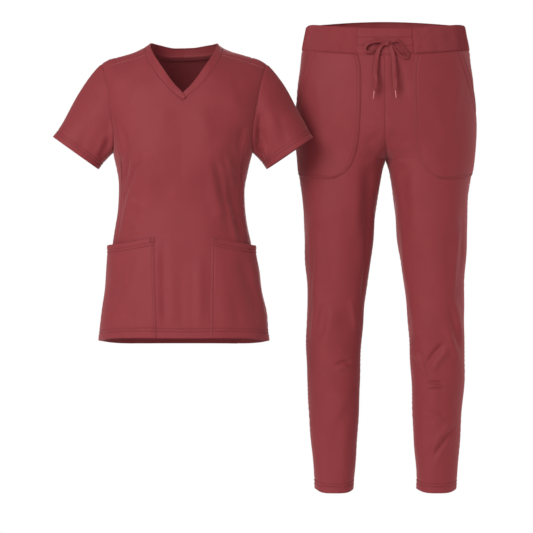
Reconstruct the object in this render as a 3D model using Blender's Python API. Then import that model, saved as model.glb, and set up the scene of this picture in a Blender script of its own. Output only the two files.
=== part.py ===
"""Medical scrubs in a women's size S to M: a fitted V-neck top with two patch pockets, and tapered
trousers with a knitted waistband, two curved patch pockets and a tied drawstring.

Both garments keep the hollow form that they have when they are worn. Every piece that is cut and
sewn is one solid: a cloth wall between an outer and an inner grid of points. The grids come from
two smooth surfaces, the body of the top and the half of the trousers, which are worked out from
tables of sections. The top's centre plane is x = 0 and its front faces -y. The origin is between
the two shoulders, at the height of the neck points.
"""

import math

import bmesh
import bpy
import numpy as np

WALL = 0.0015
MITRE_LIMIT = 0.80
SEAM = 0.0004
LAYER = 0.0007
PROBE = 0.0008

COLLECTION = "scrubs"
CLOTH_COLOUR = (0.29, 0.055, 0.068, 1.0)
RIB_COLOUR = (0.27, 0.050, 0.062, 1.0)
CORD_COLOUR = (0.30, 0.060, 0.073, 1.0)
TIP_COLOUR = (0.50, 0.16, 0.17, 1.0)

# ---------------------------------------------------------------- the top's driving dimensions
SHOULDER_TOP = 0.196
TOP_HEM_FRONT = -0.630
TOP_HEM_BACK = -0.640
ARMPIT = -0.229
FRONT_ROUNDING = 0.120
BACK_ROUNDING = 0.090
SHOULDER_PEAK = 1.3
FRONT_SQUARENESS = 2.4
BACK_SQUARENESS = 2.3
BUST_HEIGHT = -0.245
BUST_SPREAD = 0.078
BUST_RISE = 0.007
BUST_SIZE = 0.060

# height, half width, depth of the front, depth of the back
TOP_SECTIONS = (
    (-0.660, 0.1845, 0.125, 0.131),
    (-0.585, 0.1775, 0.123, 0.130),
    (-0.533, 0.1675, 0.120, 0.126),
    (-0.482, 0.1595, 0.116, 0.119),
    (-0.430, 0.1495, 0.111, 0.109),
    (-0.385, 0.1415, 0.107, 0.099),
    (-0.340, 0.1360, 0.105, 0.092),
    (-0.301, 0.1355, 0.109, 0.094),
    (-0.262, 0.1410, 0.116, 0.101),
    (-0.228, 0.1500, 0.118, 0.107),
    (-0.190, 0.1590, 0.114, 0.111),
    (-0.150, 0.1705, 0.107, 0.112),
    (-0.100, 0.1840, 0.099, 0.108),
    (-0.040, 0.1950, 0.092, 0.100),
    (0.020, 0.1980, 0.090, 0.096),
)
# height, how far the body of the top leans sideways there
TOP_LEAN = (
    (-0.660, 0.0000), (-0.600, -0.0025), (-0.500, -0.0045), (-0.380, -0.0050), (-0.280, -0.0035),
    (-0.180, -0.0010), (-0.100, 0.0000), (0.020, 0.0000),
)
# distance from the centre, height of the shoulder ridge
SHOULDER_RIDGE = (
    (0.000, 0.0070), (0.060, 0.0035), (0.082, -0.0030), (0.104, -0.0130),
    (0.134, -0.0225), (0.163, -0.0310), (0.178, -0.0395), (0.200, -0.0560),
)
# distance from the centre, height of the V neckline
NECKLINE_FRONT = (
    (0.0000, -0.1155), (0.0200, -0.1000), (0.0380, -0.0830), (0.0520, -0.0680),
    (0.0636, -0.0510), (0.0742, -0.0360), (0.0815, -0.0200),
)
# share of the way round to the side, height of the front armhole
ARMHOLE_FRONT = (
    (0.713, -0.047), (0.690, -0.076), (0.690, -0.103), (0.711, -0.137), (0.735, -0.165),
    (0.765, -0.190), (0.812, -0.210), (0.880, -0.223), (1.000, ARMPIT),
)
# share of the way round to the side, height of the back armhole up to the shoulder tip
ARMHOLE_BACK = (
    (1.000, ARMPIT), (0.870, -0.221), (0.802, -0.205), (0.757, -0.180), (0.727, -0.150),
    (0.705, -0.110), (0.703, -0.075), (0.716, -0.050), (0.729, -0.0402),
)
ARMHOLE_PRINCESS = 4
# height, distance from the centre of the front princess seam
PRINCESS_FRONT = (
    (-0.660, 0.1630), (-0.500, 0.1500), (-0.412, 0.1370), (-0.363, 0.1300), (-0.307, 0.1290),
    (-0.243, 0.1320), (-0.217, 0.1350), (-0.190, 0.1420), (-0.165, 0.1520),
)
# height, distance from the centre of the back princess seam
PRINCESS_BACK = (
    (-0.660, 0.1150), (-0.500, 0.0980), (-0.340, 0.0820), (-0.230, 0.0980), (-0.120, 0.1250),
    (-0.040, 0.1440), (-0.023, 0.1455),
)
# distance from the centre, height of the back neckline, up to the ridge
NECKLINE_BACK = (
    (0.0000, -0.0200), (0.0300, -0.0188), (0.0550, -0.0155), (0.0720, -0.0110), (0.0815, -0.0066),
    (0.0862, -0.0038),
)
# the neckband's free edge from the point of the V to the centre back
NECK_EDGE = (
    (0.0000, -0.0985, -0.0995), (0.0200, -0.0915, -0.0805), (0.0454, -0.0725, -0.0464),
    (0.0598, -0.0545, -0.0267), (0.0697, -0.0315, -0.0095), (0.0738, -0.0080, 0.0025),
    (0.0715, 0.0150, 0.0035), (0.0610, 0.0370, 0.0000), (0.0420, 0.0510, -0.0025),
    (0.0210, 0.0575, -0.0042), (0.0000, 0.0595, -0.0048),
)
NECK_FORWARD_SHARE = 0.590
V_LAP = 0.50
V_LAP_CLEAR = 0.0014
NECKBAND_BULGE = 0.0006
FORWARD_SEAM_NECK = (0.0815, -0.0200)
FORWARD_SEAM_PRINCESS = 0.146
FORWARD_SEAM_ARM = (0.1750, -0.0470)

SLEEVE_HEM_CENTRE = (0.2305, -0.2305)
SLEEVE_HEM_UP = (0.0493, 0.0345)
SLEEVE_HEM_DEPTH = 0.049
SLEEVE_LEAVES_TOP = (0.76, 0.0, -0.65)
SLEEVE_LEAVES_ARMPIT = (0.74, 0.0, -0.67)
SLEEVE_ARRIVES = (0.573, 0.0, -0.819)

TOP_POCKET_INNER = 0.0600
TOP_POCKET_TOP_INNER = -0.408
TOP_POCKET_TOP_OUTER = -0.430
TOP_POCKET_HEM = 0.001
TOP_POCKET_GAPE = 0.0115
POCKET_BAG_WIDEST = 0.86
POCKET_BAG_ROUNDING = 2.2
POCKET_BAG_OPENING = 1.8

# soft ridges and troughs of the top, along from start to end:
# start x, start z, end x, end z, half width, height
TOP_FOLDS = (
    (0.072, -0.260, 0.126, -0.425, 0.013, 0.0040),
    (0.100, -0.235, 0.134, -0.330, 0.009, 0.0025),
    (-0.084, -0.232, -0.122, -0.350, 0.011, 0.0026),
    (-0.104, -0.240, -0.132, -0.400, 0.012, -0.0022),
)

# ---------------------------------------------------------------- the trousers' driving dimensions
TROUSERS_X = 0.4366
TROUSERS_Y = 0.105
CROTCH = -0.240
FRONT_RISE = 0.075
BACK_RISE = 0.125
LEG_BLEND = 0.140
LEG_BLEND_SHARE = 0.45
LEG_SQUARENESS = 2.25
HIP_SQUARENESS = 2.35
BAND_HEIGHT = 0.0570
WAIST_FRONT = -0.0180
WAIST_SIDE = -0.0050
WAIST_BACK = 0.0080
LEG_HEM = -0.9570
LEG_HEM_DIP = 0.0090

# height, outer side, inner side, depth of the front, depth of the back, middle of the depth
TROUSER_SECTIONS = (
    (-0.985, 0.1530, 0.0705, 0.046, 0.049, 0.006),
    (-0.914, 0.1560, 0.0665, 0.046, 0.052, 0.006),
    (-0.861, 0.1615, 0.0620, 0.047, 0.057, 0.005),
    (-0.809, 0.1658, 0.0590, 0.049, 0.062, 0.003),
    (-0.757, 0.1690, 0.0567, 0.052, 0.066, 0.001),
    (-0.704, 0.1724, 0.0556, 0.055, 0.067, -0.002),
    (-0.652, 0.1724, 0.0535, 0.059, 0.064, -0.004),
    (-0.600, 0.1713, 0.0490, 0.064, 0.063, -0.004),
    (-0.547, 0.1702, 0.0436, 0.068, 0.068, -0.002),
    (-0.442, 0.1757, 0.0295, 0.078, 0.082, 0.000),
    (-0.338, 0.1800, 0.0185, 0.091, 0.097, 0.002),
    (-0.285, 0.1860, 0.0098, 0.098, 0.105, 0.004),
    (-0.240, 0.1915, 0.0008, 0.103, 0.112, 0.005),
    (-0.207, 0.1955, 0.0000, 0.107, 0.122, 0.005),
    (-0.154, 0.1973, 0.0000, 0.110, 0.130, 0.004),
    (-0.102, 0.1930, 0.0000, 0.110, 0.130, 0.003),
    (-0.050, 0.1872, 0.0000, 0.107, 0.120, 0.002),
    (0.003, 0.1815, 0.0000, 0.103, 0.108, 0.001),
    (0.029, 0.1765, 0.0000, 0.100, 0.103, 0.000),
    (0.080, 0.1670, 0.0000, 0.097, 0.098, 0.000),
)
# distance from the centre, height of the trouser pocket's inner edge and lower corner
TROUSER_POCKET_INNER = (
    (0.0620, -0.0185), (0.0565, -0.0515), (0.0563, -0.1160), (0.0587, -0.1700), (0.0613, -0.2020),
    (0.0673, -0.2300), (0.0785, -0.2536), (0.0935, -0.2710), (0.1140, -0.2812),
)
TROUSER_POCKET_MOUTH_X = 0.1640
TROUSER_POCKET_MOUTH_END = -0.137
TROUSER_POCKET_SIDE_END = -0.273
TROUSER_POCKET_GAPE = 0.004
INSERT_HALF = 0.0610

CORD_WIDTH = 0.0090
CORD_THICK = 0.0016
CORD_CROWN = 0.0003
TIP_RADIUS = 0.0017
TIP_LENGTH = 0.0170
KNOT = (0.0012, 0.0062)
KNOT_SIZE = (0.0072, 0.0050, 0.0062)
# across from the trousers' centre, height: the bow's two loops and two hanging ends
LOOP_LEFT = (
    (-0.0075, 0.0092), (-0.0168, 0.0078), (-0.0260, 0.0092), (-0.0352, 0.0078), (-0.0432, 0.0025),
    (-0.0469, -0.0052), (-0.0430, -0.0135), (-0.0345, -0.0168), (-0.0258, -0.0134),
    (-0.0170, -0.0065), (-0.0085, 0.0008),
)
LOOP_RIGHT = (
    (0.0100, 0.0092), (0.0170, 0.0128), (0.0240, 0.0140), (0.0305, 0.0085), (0.0380, -0.0010),
    (0.0462, -0.0100), (0.0503, -0.0205), (0.0455, -0.0298), (0.0360, -0.0278),
    (0.0260, -0.0178), (0.0178, -0.0080), (0.0105, 0.0012),
)
TAIL_LEFT = (
    (-0.0068, -0.0020), (-0.0150, -0.0120), (-0.0198, -0.0245), (-0.0219, -0.0380),
    (-0.0228, -0.0560), (-0.0221, -0.0760), (-0.0232, -0.0950),
)
TAIL_RIGHT = (
    (0.0090, -0.0020), (0.0145, -0.0130), (0.0168, -0.0270), (0.0174, -0.0440),
    (0.0173, -0.0620), (0.0177, -0.0800), (0.0190, -0.0950),
)
LIFT_LOW = 0.0010
LIFT_MIDDLE = 0.0033
LIFT_HIGH = 0.0056

# ---------------------------------------------------------------- how many rows and columns
ROWS_LOW = 13
ROWS_FRONT_ARM = 6
ROWS_BACK_ARM = 10
SIDE_COLUMNS = 4
SHOULDER_COLUMNS = 3
SLEEVE_ROWS = 7
NECK_FRONT_ROWS = 6
NECK_BACK_ROWS = 6
POCKET_ROWS = 10
POCKET_COLUMNS = 11
POCKET_SIDE_SHARE = 0.990
INSERT_COLUMNS = 3
FRONT_COLUMNS = 9
BACK_COLUMNS = 8
LEG_ROWS = 14
RISE_ROWS = 8
HIP_ROWS = 3
BAND_ROWS = 3


# ---------------------------------------------------------------- numbers into curves and grids
def column(table, number):
    return np.array([row[number] for row in table])


def through(places, values, at):
    """A smooth curve through a table's rows, as cubic pieces with the slopes of the rows beside."""
    slopes = np.gradient(values, places)
    at = np.clip(at, places[0], places[-1])
    i = np.clip(np.searchsorted(places, at) - 1, 0, len(places) - 2)
    step = places[i + 1] - places[i]
    t = (at - places[i]) / step
    rise = t * t * (3 - 2 * t)
    start = t * (1 - t) ** 2 * step * slopes[i]
    end = t * t * (t - 1) * step * slopes[i + 1]
    return (1 - rise) * values[i] + rise * values[i + 1] + start + end


def section(table, number, height):
    return through(column(table, 0), column(table, number), height)


def along(table, count, first=0.0, last=1.0):
    """Points spaced evenly along the smooth curve through a table of pairs."""
    knots = np.array(table, float)
    steps = np.arange(len(knots), dtype=float)
    fine = np.linspace(0, len(knots) - 1, 400)
    curve = np.stack([through(steps, knots[:, k], fine) for k in range(knots.shape[1])], 1)
    length = np.concatenate([[0], np.cumsum(np.linalg.norm(np.diff(curve, axis=0), axis=1))])
    want = np.linspace(first, last, count) * length[-1]
    return np.stack([np.interp(want, length, curve[:, k]) for k in range(knots.shape[1])], 1)


def unit(vectors):
    return vectors / np.maximum(np.linalg.norm(vectors, axis=-1, keepdims=True), 1e-12)


def patch(bottom, top, left, right):
    """A grid between four edges, each a row of points. Rows run from bottom to top."""
    u = np.linspace(0, 1, len(bottom))[None, :, None]
    v = np.linspace(0, 1, len(left))[:, None, None]
    low = (1 - u) * bottom[0] + u * bottom[-1]
    high = (1 - u) * top[0] + u * top[-1]
    between = (1 - v) * bottom[None] + v * top[None] + (1 - u) * left[:, None] + u * right[:, None]
    return between - (1 - v) * low - v * high


def grid_normals(points, facing):
    """Unit normals of a grid of points, on the side that faces the given way."""
    across = np.gradient(points, axis=1)
    along_ = np.gradient(points, axis=0)
    normal = unit(np.cross(across, along_))
    return normal * np.sign((normal * facing).sum())


def relief(x, z, folds):
    """How far soft folds raise the cloth, seen from the front: a bell across, faded at both ends."""
    rise = np.zeros(np.shape(x))
    for x0, z0, x1, z1, width, height in folds:
        length = math.hypot(x1 - x0, z1 - z0)
        dx, dz = (x1 - x0) / length, (z1 - z0) / length
        way = ((x - x0) * dx + (z - z0) * dz) / length
        off = (x - x0) * dz - (z - z0) * dx
        fade = np.clip(way * (1 - way) * 4, 0, 1)
        rise += height * fade * np.exp(-((off / width) ** 2))
    return rise


# ---------------------------------------------------------------- the body of the top
def top_half_width(height):
    return section(TOP_SECTIONS, 1, height)


def ridge_height(share):
    return through(column(SHOULDER_RIDGE, 0), column(SHOULDER_RIDGE, 1), share * SHOULDER_TOP)


def top_surface(round_, down):
    """The top's cloth. round_ is 0 at the centre and 1 at the side. down is the way from the
    shoulder ridge, forwards when positive and backwards when negative."""
    sine = np.sin(round_ * math.pi / 2)
    front = down >= 0
    rounding = np.where(front, FRONT_ROUNDING, BACK_ROUNDING)
    quarter = rounding * math.pi / 2
    angle = np.minimum(np.abs(down) / rounding, math.pi / 2)
    drop = rounding * (1 - np.cos(angle)) + np.maximum(np.abs(down) - quarter, 0)
    z = ridge_height(np.abs(sine)) - drop
    x = top_half_width(z) * sine
    depth = np.where(front, -section(TOP_SECTIONS, 2, z), section(TOP_SECTIONS, 3, z))
    power = np.where(front, FRONT_SQUARENESS, BACK_SQUARENESS)
    profile = np.maximum(1 - np.abs(sine) ** power, 0) ** (1 / power)
    y = depth * profile * np.sin(angle) ** SHOULDER_PEAK
    near_bust = np.exp(-((np.abs(x) - BUST_SPREAD) ** 2 + (z - BUST_HEIGHT) ** 2) / BUST_SIZE**2)
    raised = BUST_RISE * near_bust + relief(x, z, TOP_FOLDS)
    y = y - np.where(front, raised * profile, 0)
    return np.stack([x, y, z], -1)


def top_place(x, z, side):
    """(round_, down) of a point of the top given by its place in the front view. side is 1 in
    front and -1 behind."""
    sine = np.clip(x / top_half_width(z), -1, 1)
    rounding = FRONT_ROUNDING if side > 0 else BACK_ROUNDING
    drop = np.maximum(ridge_height(np.abs(sine)) - z, 0)
    curved = rounding * np.arccos(np.clip(1 - drop / rounding, 0, 1))
    down = np.where(drop < rounding, curved, rounding * math.pi / 2 + drop - rounding)
    return np.stack([np.arcsin(sine) * 2 / math.pi, side * down], -1)


def armhole_place(table, count, first, last, side):
    """Points of the armhole as (round_, down), between two rows of its table."""
    knots = np.array(table, float)
    steps = np.arange(len(knots), dtype=float)
    at = np.linspace(first, last, count)
    round_ = through(steps, knots[:, 0], at)
    z = through(steps, knots[:, 1], at)
    sine = np.sin(round_ * math.pi / 2)
    return top_place(top_half_width(z) * sine, z, side)


def seam_place(table, heights, side):
    x = section(table, 1, heights)
    return top_place(x, heights, side)


def shoulder_place(start_x, end_x, count):
    """The forward shoulder seam, between two distances from the centre."""
    x = np.linspace(start_x, end_x, count)
    (neck_x, neck_z), (arm_x, arm_z) = FORWARD_SEAM_NECK, FORWARD_SEAM_ARM
    z = neck_z + (x - neck_x) / (arm_x - neck_x) * (arm_z - neck_z)
    return top_place(x, z, 1)


def forward_seam():
    """The whole forward shoulder seam, with the back princess seam's end as one of its points."""
    inside = shoulder_place(FORWARD_SEAM_NECK[0], FORWARD_SEAM_PRINCESS, SHOULDER_COLUMNS + 1)
    outside = shoulder_place(FORWARD_SEAM_PRINCESS, FORWARD_SEAM_ARM[0], SIDE_COLUMNS + 1)
    return np.vstack([inside, outside[1:]])


def hem_place(from_x, to_x, count, side):
    """The hem between two shares of the way round. It is lower behind than in front."""
    round_ = np.linspace(from_x, to_x, count)
    centre = TOP_HEM_FRONT if side > 0 else TOP_HEM_BACK
    sides = (TOP_HEM_FRONT + TOP_HEM_BACK) / 2
    z = sides + (centre - sides) * np.cos(round_ * math.pi / 2) ** 2
    x = top_half_width(z) * np.sin(round_ * math.pi / 2)
    return top_place(x, z, side)


def princess_end(table, side):
    """Where a princess seam meets the hem, as the share of the way round."""
    hem = TOP_HEM_FRONT if side > 0 else TOP_HEM_BACK
    return float(top_place(section(table, 1, hem), hem, side)[0])


def side_seam_place(count, side):
    z = np.linspace((TOP_HEM_FRONT + TOP_HEM_BACK) / 2, ARMPIT, count)
    down = top_place(top_half_width(z), z, side)[:, 1]
    return np.stack([np.ones(count), down], -1)


def princess_front_place(count):
    start = ARMHOLE_FRONT[ARMHOLE_PRINCESS][1]
    places = seam_place(PRINCESS_FRONT, np.linspace(TOP_HEM_FRONT, start, count), 1)
    ends = hem_place(0, princess_end(PRINCESS_FRONT, 1), 2, 1)[-1]
    places[0] = ends
    places[-1] = armhole_place(ARMHOLE_FRONT, 2, ARMHOLE_PRINCESS, 8, 1)[0]
    return places


def princess_back_place(count):
    """From the hem up the back, over the ridge and down to the forward shoulder seam."""
    heights = np.linspace(TOP_HEM_BACK, PRINCESS_BACK[-1][0] - 0.004, count - 2)
    up = seam_place(PRINCESS_BACK, heights, -1)
    up[0] = hem_place(0, princess_end(PRINCESS_BACK, -1), 2, -1)[-1]
    end = shoulder_place(FORWARD_SEAM_PRINCESS, FORWARD_SEAM_ARM[0], 2)[0]
    ridge = np.array([(up[-1, 0] + end[0]) / 2, 0.0])
    return np.vstack([up, ridge, end])


def top_front_places():
    """The centre front's right half: hem, princess seam and armhole, shoulder seam and V."""
    lower = princess_front_place(ROWS_LOW + 1)
    upper = armhole_place(ARMHOLE_FRONT, ROWS_FRONT_ARM + 1, ARMHOLE_PRINCESS, 0, 1)
    right = np.vstack([lower, upper[1:]])
    shoulder = forward_seam()
    right[-1] = shoulder[-1]
    neck = along(NECKLINE_FRONT, NECK_FRONT_ROWS + 1)
    top = np.vstack([top_place(neck[:, 0], neck[:, 1], 1), shoulder[1:]])
    bottom = hem_place(0, right[0, 0], len(top), 1)
    z = np.linspace(TOP_HEM_FRONT, NECKLINE_FRONT[0][1], len(right))
    left = top_place(np.zeros(len(right)), z, 1)
    return patch(bottom, top, left, right)


def top_front_side_places():
    left = princess_front_place(ROWS_LOW + 1)
    right = side_seam_place(ROWS_LOW + 1, 1)
    top = armhole_place(ARMHOLE_FRONT, SIDE_COLUMNS + 1, ARMHOLE_PRINCESS, 8, 1)
    right[-1] = top[-1]
    bottom = hem_place(left[0, 0], 1, SIDE_COLUMNS + 1, 1)
    return patch(bottom, top, left, right)


def back_armhole_places():
    """From the armpit up the back armhole, over the shoulder tip to the forward seam."""
    behind = armhole_place(ARMHOLE_BACK, ROWS_BACK_ARM, 0, 8, -1)
    behind[-1, 1] = 0.0
    end = shoulder_place(FORWARD_SEAM_NECK[0], FORWARD_SEAM_ARM[0], 2)[-1:]
    return np.vstack([behind, end])


def top_back_side_places():
    right = np.vstack([side_seam_place(ROWS_LOW + 1, -1), back_armhole_places()[1:]])
    left = princess_back_place(len(right))
    top = shoulder_place(FORWARD_SEAM_PRINCESS, FORWARD_SEAM_ARM[0], SIDE_COLUMNS + 1)
    bottom = hem_place(left[0, 0], 1, SIDE_COLUMNS + 1, -1)
    return patch(bottom, top, left, right)


def back_neck_places(count):
    """The back neckline: from the centre back up to the ridge."""
    line = along(NECKLINE_BACK, count)
    places = top_place(line[:, 0], line[:, 1], -1)
    places[-1, 1] = 0.0
    return places


def top_back_places():
    """The centre back's right half, with the strip in front of the ridge as its last row. That
    row is only as wide as the shoulder."""
    right = princess_back_place(ROWS_LOW + ROWS_BACK_ARM + 1)
    neck = back_neck_places(NECK_BACK_ROWS + 1)
    ridge = np.linspace(neck[-1], right[-2], SHOULDER_COLUMNS + 1)
    forward = shoulder_place(FORWARD_SEAM_NECK[0], FORWARD_SEAM_PRINCESS, SHOULDER_COLUMNS + 1)
    rows = len(right) - 1
    split = right[0, 0] * NECK_BACK_ROWS / (NECK_BACK_ROWS + SHOULDER_COLUMNS)
    inner_hem = hem_place(0, split, NECK_BACK_ROWS + 1, -1)
    outer_hem = hem_place(split, right[0, 0], SHOULDER_COLUMNS + 1, -1)
    middle = np.linspace(inner_hem[0], neck[0], rows)
    between = np.linspace(inner_hem[-1], neck[-1], rows)
    centre = patch(inner_hem, neck, middle, between)
    shoulder = patch(outer_hem, ridge, between, right[:-1])
    grid = np.hstack([centre, shoulder[:, 1:]])
    last = np.vstack([np.repeat(forward[:1], NECK_BACK_ROWS, axis=0), forward])
    return np.concatenate([grid, last[None]])


def top_normals(places):
    """Outward normals of the top's cloth, from points a little way off in both directions. At
    the side seam the cloth faces straight outwards."""
    round_, down = places[..., 0], places[..., 1]
    turn = PROBE * 4
    across = top_surface(round_ + turn, down) - top_surface(round_ - turn, down)
    ahead = top_surface(round_, down + PROBE) - top_surface(round_, down - PROBE)
    ahead = ahead * np.where(down < 0, -1.0, 1.0)[..., None]
    across = across * np.where(down < 0, -1.0, 1.0)[..., None]
    side = np.stack([-ahead[..., 2], 0 * round_, ahead[..., 0]], -1)
    return unit(np.where((round_ > 0.999)[..., None], side, np.cross(ahead, across)))


# ---------------------------------------------------------------- the sleeves
def armhole_ring():
    """The whole right armhole as (round_, down), from the forward seam down the front, through the
    armpit and up the back. The last point joins the first."""
    upper = armhole_place(ARMHOLE_FRONT, ROWS_FRONT_ARM + 1, 0, ARMHOLE_PRINCESS, 1)
    upper[0] = shoulder_place(FORWARD_SEAM_NECK[0], FORWARD_SEAM_ARM[0], 2)[-1]
    lower = armhole_place(ARMHOLE_FRONT, SIDE_COLUMNS + 1, ARMHOLE_PRINCESS, 8, 1)
    behind = back_armhole_places()
    return np.vstack([upper, lower[1:], behind[1:-1]])


def sleeve_grid(rows):
    """The right sleeve's outer points: each ring lies part of the way from the armhole to the
    hem, on cubic curves that leave the shoulder flat and then drop."""
    start = top_surface(*armhole_ring().T)
    middle = start.mean(0)
    turn = np.arctan2(-(start[:, 1] - middle[1]), start[:, 2] - middle[2])
    turn[0] = max(turn[0], 0.02)
    centre = np.array([SLEEVE_HEM_CENTRE[0], 0.0, SLEEVE_HEM_CENTRE[1]])
    up = np.array([SLEEVE_HEM_UP[0], 0.0, SLEEVE_HEM_UP[1]])
    fore = np.array([0.0, -SLEEVE_HEM_DEPTH, 0.0])
    end = centre + np.cos(turn)[:, None] * up + np.sin(turn)[:, None] * fore
    reach = np.linalg.norm(end - start, axis=1)[:, None]
    high = (1 + np.cos(turn))[:, None] / 2
    leave = unit(high * np.array(SLEEVE_LEAVES_TOP) + (1 - high) * np.array(SLEEVE_LEAVES_ARMPIT))
    arrive = unit(np.array(SLEEVE_ARRIVES))
    t = np.linspace(0, 1, rows)[:, None, None]
    rise = t * t * (3 - 2 * t)
    points = (1 - rise) * start + rise * end
    points = points + t * (1 - t) ** 2 * reach * leave + t * t * (t - 1) * reach * arrive
    return points


def ring_normals(points):
    """Outward normals of a tube's grid whose rows are closed rings."""
    across = np.roll(points, -1, axis=1) - np.roll(points, 1, axis=1)
    down = np.gradient(points, axis=0)
    normal = unit(np.cross(across, down))
    out = points - points.mean(axis=1, keepdims=True)
    return normal * np.sign((normal * out).sum())


def mitre(one, other):
    """The way from the outer to the inner edge of a seam between two walls."""
    both = one + other
    size = np.linalg.norm(both, axis=-1, keepdims=True)
    return -both / np.maximum(size, 1e-9) * WALL / np.maximum(size / 2, MITRE_LIMIT)


# ---------------------------------------------------------------- grids into solids
def wall_solid(name, outer, inner, material, closed=False, keep=None):
    """A closed cloth wall between two grids with the same rows and columns. keep says which of
    the cells are there."""
    rows, columns = outer.shape[:2]
    count = rows * columns
    index = np.arange(count).reshape(rows, columns)
    if closed:
        index = np.hstack([index, index[:, :1]])
    cells = np.stack([index[:-1, :-1], index[:-1, 1:], index[1:, 1:], index[1:, :-1]], -1)
    if keep is not None:
        cells = cells[keep]
    cells = cells.reshape(-1, 4)
    edges = {}
    for cell in cells.tolist():
        for a, b in zip(cell, cell[1:] + cell[:1]):
            edges[(a, b)] = edges.get((a, b), 0) + 1
    rim = [(a, b) for a, b in edges if (b, a) not in edges]
    faces = cells.tolist() + (cells[:, ::-1] + count).tolist()
    faces += [(b, a, a + count, b + count) for a, b in rim]
    used = sorted({i for face in faces for i in face})
    number = {old: new for new, old in enumerate(used)}
    points = np.concatenate([outer.reshape(-1, 3), inner.reshape(-1, 3)])[used]
    mesh = bpy.data.meshes.new(name)
    mesh.from_pydata(points.tolist(), [], [[number[i] for i in face] for face in faces])
    work = bmesh.new()
    work.from_mesh(mesh)
    bmesh.ops.recalc_face_normals(work, faces=work.faces)
    bmesh.ops.triangulate(work, faces=work.faces, quad_method="SHORT_EDGE")
    work.to_mesh(mesh)
    work.free()
    mesh.materials.append(material)
    piece = bpy.data.objects.new(name, mesh)
    bpy.data.collections[COLLECTION].objects.link(piece)
    return piece


def drawn_back(outer, inner, columns="", rows=""):
    """Both grids with the named edges drawn back by half a seam's gap."""
    step = SEAM / 2
    moves = []
    if "first" in columns:
        moves.append((np.s_[:, 0], unit(outer[:, 1] - outer[:, 0])))
    if "last" in columns:
        moves.append((np.s_[:, -1], unit(outer[:, -2] - outer[:, -1])))
    if "first" in rows:
        moves.append((np.s_[0], unit(outer[1] - outer[0])))
    if "last" in rows:
        moves.append((np.s_[-1], unit(outer[-2] - outer[-1])))
    for where, way in moves:
        outer[where] += way * step
        inner[where] += way * step
    return outer, inner


def mirrored(grid):
    """The same grid on the other side of x = 0, with its columns in the opposite order."""
    return (grid * np.array([-1.0, 1.0, 1.0]))[:, ::-1]


def both_halves(grid):
    """A grid from the left edge to the right one, made of a right half and its mirror image."""
    return np.hstack([mirrored(grid)[:, :-1], grid])


def leaning(grid):
    lean = section(TOP_LEAN, 1, grid[..., 2])
    return grid + lean[..., None] * np.array([1.0, 0.0, 0.0])


def top_piece(name, outer, inner, material, closed=False, keep=None):
    wall_solid(name, leaning(outer), leaning(inner), material, closed, keep)


def two_sides(name, outer, inner, material, closed=False):
    top_piece(name + "_right", outer, inner, material, closed)
    top_piece(name + "_left", mirrored(outer), mirrored(inner), material, closed)


def cloth(name, colour, roughness):
    material = bpy.data.materials.new(name)
    material.use_nodes = True
    shader = material.node_tree.nodes["Principled BSDF"]
    shader.inputs["Base Color"].default_value = colour
    shader.inputs["Roughness"].default_value = roughness
    shader.inputs["Metallic"].default_value = 0.0
    return material


# ---------------------------------------------------------------- the top's pieces
def armhole_seam():
    """(points, way inwards, way off to the sleeve) all round the right armhole."""
    ring = armhole_ring()
    points = top_surface(*ring.T)
    sleeve = sleeve_grid(SLEEVE_ROWS)
    inwards = mitre(top_normals(ring), ring_normals(sleeve)[0])
    tangent = unit(np.roll(points, -1, axis=0) - np.roll(points, 1, axis=0))
    inwards -= tangent * (inwards * tangent).sum(1, keepdims=True)
    off = unit(np.cross(tangent, inwards))
    off *= np.sign((off * (sleeve[1] - sleeve[0])).sum(1))[:, None]
    return points, inwards, off


def body_panel(places, arm_rows=None, arm_top=None, **edges):
    """The two grids of a panel of the top. The armhole's edges take the seam's own slant."""
    outer = top_surface(places[..., 0], places[..., 1])
    inner = outer - WALL * top_normals(places)
    armhole = outer.copy()
    outer, inner = drawn_back(outer, inner, **edges)
    if arm_rows is not None:
        outer[ROWS_LOW + 1 : -1, -1] = armhole[ROWS_LOW + 1 : -1, -1]
        inner[ROWS_LOW:, -1] = outer[ROWS_LOW:, -1] + arm_rows
    if arm_top is not None:
        outer[-1, 1:-1] = armhole[-1, 1:-1]
        inner[-1] = outer[-1] + arm_top
    return outer, inner


def top_panels(material):
    _, inwards, _ = armhole_seam()
    corner = ROWS_FRONT_ARM + SIDE_COLUMNS
    upper = inwards[: ROWS_FRONT_ARM + 1][::-1]
    lower = inwards[ROWS_FRONT_ARM : corner + 1]
    behind = np.vstack([inwards[corner:], inwards[:1]])

    outer, inner = body_panel(top_front_places(), upper, columns="last", rows="last")
    top_piece("top_front", both_halves(outer), both_halves(inner), material)

    outer, inner = body_panel(top_front_side_places(), None, lower, columns="first last")
    two_sides("top_front_side", outer, inner, material)

    outer, inner = body_panel(top_back_side_places(), behind, columns="first last", rows="last")
    two_sides("top_back_side", outer, inner, material)

    outer, inner = body_panel(top_back_places(), columns="last", rows="last")
    outer, inner = both_halves(outer), both_halves(inner)
    keep = np.ones((outer.shape[0] - 1, outer.shape[1] - 1), bool)
    keep[-1, SHOULDER_COLUMNS:-SHOULDER_COLUMNS] = False
    top_piece("top_back", outer, inner, material, keep=keep)


def top_sleeves(material):
    start, inwards, off = armhole_seam()
    outer = sleeve_grid(SLEEVE_ROWS)
    inner = outer - WALL * ring_normals(outer)
    outer[0] = start + off * SEAM
    inner[0] = start + inwards + off * SEAM
    two_sides("top_sleeve", outer, inner, material, closed=True)


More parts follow.
